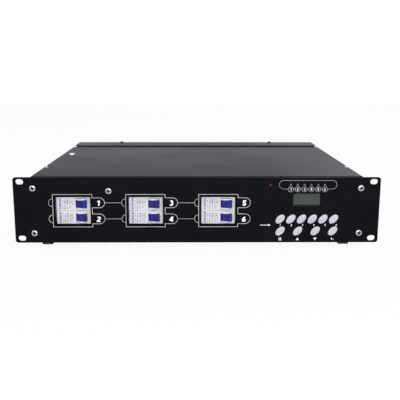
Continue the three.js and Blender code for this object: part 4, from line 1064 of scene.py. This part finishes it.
# Feet: a square rubber block with a well for its screw
foot = {"side": 14.2, "corner": 1.2, "edge": 0.4, "height": 8.7, "well": 3.5,
        "wellEnds": (-1.0, 3.0), "screwDepth": 3.05}


def makeFeet():
    outline = roundRect(foot["side"], foot["side"], foot["corner"])
    well = rod(foot["well"], *foot["wellEnds"], count=32)
    shape = carved(slab(outline, 0, foot["height"], edge=foot["edge"]), [well])
    head = moved(screwHead(**heads["foot"]), z=-foot["screwDepth"])
    for node in ("foot_front_left", "foot_front_right", "foot_rear_left", "foot_rear_right"):
        base = middleAt(node, 2, low(node)[2])
        piece(f"{node}_rubber", [shape], "up", base, rubber, replaced=[node])
        piece(f"{node}_screw", [head], "down", base, zinc)


# Cable glands, seen from behind: a hexagon, a ribbed dome nut, a rubber seal, a thread and its nut
gland = {
    "mains": {"flats": 36, "hex": 6.0, "dome": 16.5, "domeEnd": 22.3, "mouth": 10.0, "bore": 8.0,
              "thread": 16.0, "reach": 11.8, "nut": 5.0},
    "output": {"flats": 30, "hex": 5.0, "dome": 13.5, "domeEnd": 18.3, "mouth": 8.0, "bore": 6.0,
               "thread": 12.5, "reach": 10.5, "nut": 4.5},
    "ribs": 14, "ribDepth": 0.55, "ribStart": 0.6, "ribEnd": 2.2, "ribFade": (2.0, 3.0),
    "ribInner": 1.0, "gap": 0.3, "pitch": 1.5, "threadDepth": 0.55, "seal": 1.1, "hexEdge": 0.6,
    "nutBore": 0.9, "nutLess": 1.0, "edge": 0.5, "lip": 0.9, "tall": 1.05,
    "rise": (0.12, 0.35, 0.7, 1.0),
    "mouth": ((0.3, 0), (0, -0.3), (0, -2.0), (-0.9, -3.0)),  # from the mouth's radius and end
    "ring": ((1.05, -13.4), (1.05, -2.0), (0.6, -1.4), (0.2, -1.7), (0, -2.2), (0, -13.4)),
}
outputGlands = [f"output_gland_{i}" for i in range(1, 4)]


# Thread: radius(angle, z) falls by a triangle wave along the helix and fades at both ends
def thread(radius, bore, top, bottom, pitch, depth, count=48, rows=8):
    level = np.linspace(top, bottom, int((top - bottom) / pitch * rows))[:, None]
    angle = fullTurn(count)
    wave = np.abs(np.mod(level / pitch + angle / 2 / pi, 1) * 2 - 1)
    fade = np.clip(np.minimum(top - level, level - bottom) / pitch, 0, 1)
    outside = polar(radius - depth * (1 - (1 - wave) * fade), angle, level)
    if not bore:
        return surface(outside)
    inside = polar(bore, angle, np.array([[bottom], [top]]))
    return surface(np.concatenate([outside, inside]), loop=True)


# Dome nut: a straight side, a quarter ellipse and the mouth, pressed in between the ribs by a
# squared cosine that fades at both ends
def dome(size, count=168, steps=12):
    g = gland
    start, end, mouth, outer = size["hex"] + g["gap"], size["domeEnd"], size["mouth"], size["dome"]
    edge, lip = g["edge"], mouth + g["lip"]
    corner = outer - lip
    top = end - corner * g["tall"]
    profile = [(size["bore"] + g["seal"], start), (outer - edge, start), (outer, start + edge)]
    profile += [(outer, start + edge + (top - start - edge) * share) for share in g["rise"]]
    profile += [(lip + corner * cos(turn), top + corner * g["tall"] * sin(turn))
                for turn in np.linspace(0, pi / 2, steps + 1)[1:]]
    profile += [(mouth + x, end + z) for x, z in g["mouth"]]
    radius, level = np.array(profile).T[:, :, None]
    share = np.clip((level - start - g["ribStart"]) / g["ribFade"][0], 0, 1)
    share = share * np.clip((end - g["ribEnd"] - level) / g["ribFade"][1], 0, 1)
    angle = fullTurn(count)
    press = g["ribDepth"] * (0.5 + 0.5 * np.cos(g["ribs"] * angle)) ** 2
    press = press * (radius > mouth + g["ribInner"])
    return surface(polar(radius - share * press, angle, level), loop=True)


def makeGland(node, size):
    g, wall = gland, -tray["sheet"] - gland["gap"]
    inner, end = size["bore"] + g["seal"], size["hex"] + g["gap"]
    shapes = [
        slab(hexagon(size["flats"]), g["gap"], end, [circle(inner)], g["hexEdge"]),
        slab(hexagon(size["flats"] - g["nutLess"]), wall - size["nut"], wall,
             [circle(size["thread"] - g["nutBore"])], g["edge"]),
        thread(size["thread"], inner, g["gap"], g["gap"] - size["reach"], g["pitch"],
               g["threadDepth"]),
        dome(size),
    ]
    onRear(f"{node}_body", shapes, node, blackPlastic, [node], sharp=40)
    ring = np.array(g["ring"]) + [size["bore"], size["domeEnd"]]
    onRear(f"{node}_seal", [turned(ring, loop=True)], node, rubber)


# Signal sockets: flange and shell in one, an insert with pins or with holes, and two screws
socket = {
    "flange": (26.0, 31.0), "corner": 2.5, "flangeEnds": (0.3, 2.3), "flangeEdge": 0.2,
    "lip": ((8.9, 2.1), (8.9, 2.55), (9.2, 2.8), (9.5, 2.8), (9.9, 2.4), (9.9, 2.1)),
    "shell": 11.8, "shellEnd": -15.7, "cup": 8.9, "cupFloor": -12.7, "fit": 0.02,
    "core": 7.4, "coreEnds": (-12.69, 1.3), "coreEdge": 0.4, "hole": 1.4,
    "circle": 4.4, "angles": (30, 150, 270),
    "pin": ((1.2, -12.69), (1.2, -1.6), (0.96, -1.05), (0.48, -0.7)),
    "screwPlace": (9.5, 12.0), "latchHole": (8.6, 4.2, 0.8, (0, 12.2)),
}


def makeSocket(node, female):
    s, (back, face) = socket, socket["flangeEnds"]
    pinPlaces = heading(np.radians(s["angles"])) * s["circle"]
    cup = circle(s["cup"], count=64)
    holes = [cup]
    if female:
        holes.append(roundRect(*s["latchHole"]))
    shapes = [slab(roundRect(*s["flange"], s["corner"]), back, face, holes, s["flangeEdge"]),
              slab(circle(s["shell"], count=72), s["shellEnd"], back, [cup]),
              turned(s["lip"], loop=True)]
    onRear(f"{node}_shell", shapes, node, nickel, [node], sharp=30)
    insert = [slab(circle(s["cup"] - s["fit"], count=64), s["shellEnd"], s["cupFloor"])]
    if female:
        holes = [circle(s["hole"], place, few) for place in pinPlaces]
        insert.append(slab(circle(s["core"], count=64), *s["coreEnds"], holes, s["coreEdge"]))
    else:
        pins = [turned(s["pin"], count=32, centre=place) for place in pinPlaces]
        onRear(f"{node}_pins", pins, node, zinc)
    onRear(f"{node}_insert", insert, node, blackPlastic)
    for i, side in enumerate((-1, 1), 1):
        x, y = np.array(s["screwPlace"]) * side
        head = moved(screwHead(**heads["socket"]), x, y, face - s["fit"])
        onRear(f"{node}_screw_{i}", [head], node, darkZinc)


# Release key of the outlet, with ribs for the thumb
latch = {"corner": 0.9, "edge": 0.45, "ribRise": 0.3, "ribSink": 0.4, "ribSide": 1.2,
         "rib": 0.35, "ribCorner": 0.15, "ribEdge": 0.1, "ribPitch": 0.8}


def makeLatch():
    node = "signal_outlet_latch"
    width, depth, height = extent(node)
    shapes = [slab(roundRect(width, height, latch["corner"], steps=6), 0, depth - latch["ribRise"],
                   edge=latch["edge"])]
    for step in (-1, 0, 1):
        rib = roundRect(width - 2 * latch["ribSide"], latch["rib"], latch["ribCorner"],
                        (0, step * latch["ribPitch"]))
        shapes.append(slab(rib, depth - latch["ribSink"], depth, edge=latch["ribEdge"]))
    piece("outlet_release", shapes, "back", middleAt(node, 1, low(node)[1]), zinc,
          "outlet_latch", [node])


# Earth stud: threaded rod, a washer, and a nut on each side of the wall
earth = {"thread": 3.0, "flats": 10.0, "pitch": 1.0, "depth": 0.35, "bore": 2.8,
         "washer": 5.6, "washerEnds": (0.3, 1.2), "washerBore": 3.1, "washerEdge": 0.15,
         "nuts": ((1.25, 5.3), (-6.3, -1.5)), "edge": 0.4}


def makeEarthStud():
    e, node = earth, "earth_stud"
    ends = ((box(node)[1] - rearFace) / mm for box in (high, low))
    shapes = [
        thread(e["thread"], 0, *ends, e["pitch"], e["depth"]),
        slab(circle(e["washer"]), *e["washerEnds"], [circle(e["washerBore"], count=32)],
             e["washerEdge"]),
    ]
    shapes += [slab(hexagon(e["flats"]), *levels, [circle(e["bore"], count=32)], e["edge"])
               for levels in e["nuts"]]
    onRear("earth_stud_thread", shapes, node, zinc, [node], sharp=30)


# Fan, seen from behind: a square frame with its duct and motor arms, and a rotor of curved blades.
# A blade is a flat oval along its chord, which turns by the pitch angle; its camber is a parabola,
# and the pitch grows towards the hub
fan = {
    "size": 60.0, "depth": 25.0, "corner": 4.0, "flange": 3.5, "duct": 28.5, "wall": 1.3,
    "edge": 0.3, "screwSpan": 50.0, "screw": 2.2,
    "arms": 4, "arm": 3.0, "armStart": 10.0, "armEdge": 0.4, "armLift": 0.05,
    "motor": ((13.0, 0), (14.0, 0.6), (14.0, 4.0)), "post": (3.0, 3.5, 13.5),
    "hub": ((3.3, 4.3), (13.6, 4.3), (14.0, 4.7), (14.0, 18.7), (13.5, 19.8), (12.4, 20.3),
            (0.5, 20.3), (0.5, 17.9), (3.3, 17.9)),
    "cap": (0.6, 17.9, 20.3),
    "blades": 7, "root": 12.8, "tip": 27.4, "bladeLevel": 12.3, "chord": 16.0, "taper": 0.86,
    "camber": 1.9, "thickness": 1.3, "nose": 1.02, "rootPitch": 46.0, "tipPitch": 28.0,
}


def fanBlade(angle, steps=12, count=40):
    f = fan
    rows, turn = np.linspace(0, 1, steps + 1)[:, None], fullTurn(count)
    radius = f["root"] + (f["tip"] - f["root"]) * rows
    pitch = np.radians(f["rootPitch"] + (f["tipPitch"] - f["rootPitch"]) * rows)
    chord = f["chord"] / 2 * (f["taper"] + (1 - f["taper"]) * np.sin(pi * rows))
    along = np.cos(turn) * chord
    across = np.sin(turn) * f["thickness"] / 2 * np.sqrt(f["nose"] - np.cos(turn) ** 2)
    across = across + f["camber"] * (1 - np.cos(turn) ** 2)
    side = along * np.cos(pitch) - across * np.sin(pitch)
    level = f["bladeLevel"] + along * np.sin(pitch) + across * np.cos(pitch)
    return surface(polar(radius, angle + side / radius, level))


def makeFan():
    f = fan
    base = middleAt("fan_frame", 1, low("fan_frame")[1])
    holes = [circle(f["screw"], place, few) for place in rectangle(f["screwSpan"], f["screwSpan"])]
    holes.append(circle(f["duct"], count=96))
    square = roundRect(f["size"], f["size"], f["corner"])
    flanges = [slab(square, level, level + f["flange"], holes, f["edge"])
               for level in (0, f["depth"] - f["flange"])]
    inner, outer, depth = f["duct"], f["duct"] + f["wall"], f["depth"]
    duct = [(inner, 0), (outer, 0), (outer, depth), (inner, depth)]
    tools = [turned(duct, count=96, loop=True), flanges[1]]
    shapes = [carved(flanges[0], tools, "UNION"), turned(f["motor"]), rod(*f["post"], count=32)]
    start, reach = f["armStart"], inner + f["wall"] / 2
    bar = rectangle(reach - start, f["arm"], ((reach + start) / 2, 0))
    shapes += [slab(bar @ spin((i + 0.5) * 2 * pi / f["arms"]), f["armLift"], f["arm"],
                    edge=f["armEdge"]) for i in range(f["arms"])]
    piece("fan_housing", shapes, "back", base, blackPlastic,
          replaced=["fan_frame"])
    shapes = [turned(f["hub"], loop=True), rod(*f["cap"])]
    shapes += [fanBlade(angle) for angle in fullTurn(f["blades"])]
    piece("fan_wheel", shapes, "back", base, blackPlastic, "rotor",
          ["fan_rotor"], sharp=45)


# Display: a clear lens, a dark frame behind it, and a face of character cells. A fill is a cell's
# filled share and how soft its edge is; the shift keeps the count of cells above 0
display = {
    "lensCorner": 1.0, "lensEdge": 0.2, "lensTone": (24, 27, 26),
    "face": (36.6, 15.6), "faceRise": 1.3, "faceCorner": 0.5, "faceEnds": (-0.98, -0.7),
    "frameEdge": 0.2, "frameEnd": -1.0, "backEnd": -0.99, "lap": 0.2,
    "cells": 16, "rows": 2.04, "cellPitch": 2.15, "rowPitch": 6.0,
    "cellFill": (0.42, 0.06), "rowFill": (0.40, 0.04), "shift": 100.0, "shade": 0.35,
    "cellTone": (66, 80, 74),
    "faceTones": ((106, 120, 115), (114, 128, 123)), "cloud": 60,
}


# Cells are where both axes' distance from a cell's middle is within its share, inside the last cell
def displayFace():
    d = display
    made, shader, place = blankMaterial("display face", {"Roughness": 0.35})
    centre = middle("display_lens")
    across, up = place.axis(0) - centre[0], place.axis(2) - centre[2] - d["faceRise"] * mm
    rules = ((across, d["cellPitch"], d["cells"], d["cellFill"]),
             (up, d["rowPitch"], d["rows"], d["rowFill"]))
    shade = d["shade"]
    for distance, pitch, count, (fill, blur) in rules:
        steps = distance * (1 / (pitch * mm))
        part = abs(steps.math("FRACT", steps + d["shift"]) - 0.5)
        shade = shade * (fill - part).between(0.0, blur)
        shade = shade * (count / 2 - abs(steps)).between(0.0, blur)
    clouds = place.noise(d["cloud"]).mixed(*(seen(*tone) for tone in d["faceTones"]))
    shade.mixed(clouds, seen(*d["cellTone"])).feed(shader, "Base Color")
    return made


def makeDisplay():
    d = display
    lens, *_ = blankMaterial("display lens", {
        "Base Color": seen(*d["lensTone"]), "Roughness": 0.08, "Alpha": 0.22,
        "Specular IOR Level": 0.25})
    width, depth, height = extent("display_lens")
    base = middleAt("display_lens", 1, low("display_lens")[1])
    sheet = slab(roundRect(width, height, d["lensCorner"]), -depth, 0, edge=d["lensEdge"])
    piece("display_window", [sheet], "front", base, lens,
          replaced=["display_lens"])
    base[1] = low("display_module")[1]
    width, depth, height = extent("display_module")
    whole, faceCentre = rectangle(width, height), (0, d["faceRise"])
    opening = roundRect(*d["face"], d["faceCorner"], faceCentre)
    shapes = [slab(whole, d["frameEnd"], 0, [opening], d["frameEdge"]),
              slab(whole, -depth, d["backEnd"])]
    piece("display_frame", shapes, "front", base, blackPlastic,
          replaced=["display_module"])
    face = rectangle(*np.array(d["face"]) + 2 * d["lap"], faceCentre)
    piece("display_cells", [slab(face, *d["faceEnds"])], "front", base, displayFace())


# Lights: round-nosed bodies behind the panel, on one bar for the six channels
light = {"radius": 1.5, "proud": 0.6, "collar": 2.3, "collarDepth": 1.0, "nose": 1.1, "tip": 0.12,
         "behind": 0.3, "letIn": 0.5, "barCorner": 0.8, "barEdge": 0.3, "collarEdge": 0.2}


def lightShape(place, back, rows=8):
    nose = [(light["radius"] * sin(turn), light["proud"] - light["nose"] * (1 - cos(turn)))
            for turn in np.linspace(light["tip"], pi / 2, rows)]
    return turned(nose + [(light["radius"], back)], count=32, centre=place)


def makeLights():
    width, _, height = extent("channel_lights")
    start = (panelBase[1] - low("channel_lights")[1]) / mm - light["proud"]
    start -= panel["thickness"] + light["behind"]
    ends = [(panelBase[1] - high(node)[1]) / mm for node in ("channel_lights", "status_light")]
    outline = roundRect(width, height, light["barCorner"], seenAt("channel_lights"))
    bar = slab(outline, ends[0], start, edge=light["barEdge"])
    onPanel("channel_light_bar", [bar], blackPlastic)
    noses = [lightShape(place, start - light["letIn"]) for place in lightPlaces]
    onPanel("channel_light_noses", noses, lightClear, replaced=["channel_lights"])
    place = seenAt("status_light")
    outline = circle(light["collar"], place, count=32)
    collar = slab(outline, start - light["collarDepth"], start, edge=light["collarEdge"])
    onPanel("status_light_nose", [lightShape(place, ends[1]), collar], lightRed,
            replaced=["status_light"])


# Boards: solder mask with tracks and pads up to a level, and the darker parts that stand on it.
# The laminate's face is a depth before the control board's back, or a height over the power
# board's bottom
board = {
    "controlDepth": 5.6, "powerHeight": 9.6,
    "mask": ((34, 92, 54), (40, 104, 62)), "track": (70, 140, 84), "pad": (190, 190, 180),
    "parts": ((34, 34, 38), (74, 62, 50)), "partCloud": 40, "partEdge": (0.4, 0.6),
    "padCloud": 260, "padEdge": (0.68, 0.72), "padShare": 0.8, "step": 0.1,
}


def boardFinish(name, axis, level, above):
    b = board
    made, shader, place = blankMaterial(name, {"Roughness": 0.4})
    parts = (place.axis(axis) - level).between(-b["step"] * mm, b["step"] * mm)
    if not above:
        parts = 1.0 - parts
    tracks = place.node("TexBrick", {
        "Vector": place, "Scale": 60.0, "Mortar Size": 0.035, "Mortar Smooth": 0.2,
        "Color1": seen(*b["mask"][0]), "Color2": seen(*b["mask"][1]), "Mortar": seen(*b["track"]),
    }, offset=0.35, squash=0.6)
    pads = place.noise(b["padCloud"], 1.0).between(*b["padEdge"]) * b["padShare"]
    body = place.noise(b["partCloud"]).between(*b["partEdge"])
    body = body.mixed(*(seen(*tone) for tone in b["parts"]))
    parts.mixed(pads.mixed(tracks, seen(*b["pad"])), body).feed(shader, "Base Color")
    return made


# Windings: turns of lacquered wire as fine bands that also stand up
windingTones = ((98, 46, 22), (178, 96, 52))


def windingFinish():
    made, shader, place = blankMaterial("copper winding", {"Metallic": 0.75, "Roughness": 0.34})
    bands = place.node("TexWave", {"Vector": place, "Scale": 180.0, "Distortion": 2.0}, 1,
                       wave_type="RINGS", rings_direction="SPHERICAL")
    bands.mixed(*(seen(*tone) for tone in windingTones)).feed(shader, "Base Color")
    lifted = bands.node("Bump", {"Height": bands, "Strength": 0.7, "Distance": 0.2 * mm})
    lifted.feed(shader, "Normal")
    return made


# Finishes of the nodes that no piece replaces
controlFace = high("control_board")[1] - board["controlDepth"] * mm
powerFace = low("power_board")[2] + board["powerHeight"] * mm
dressing = {
    "control_board": boardFinish("control board", 1, controlFace, above=False),
    "power_board": boardFinish("power board", 2, powerFace, above=True),
    **{f"din_rail_{i}": zinc for i in range(1, 4)},
    "breaker_bracket": zinc,
    "heat_sink": aluminium,
    "control_transformer": laminate,
    "choke_bank": windingFinish(),
    "terminal_strip": blackPlastic,
}
for node, material in dressing.items():
    for holder in bpy.data.objects[node].material_slots:
        holder.material = material

print("front panel")
makePanel()
makeLines()
makeLightRings()
makeNumbers()
makeSigns()
makePanelScrews()
print("breakers and buttons")
makeBreakers()
makeButtons()
print("display and lights")
makeDisplay()
makeLights()
print("case")
makeTray()
makeCovers()
makeCoverScrews()
makeFeet()
print("rear wall")
makeGland("mains_gland", gland["mains"])
for node in outputGlands:
    makeGland(node, gland["output"])
makeSocket("signal_inlet", female=False)
makeSocket("signal_outlet", female=True)
makeLatch()
makeFan()
makeEarthStud()
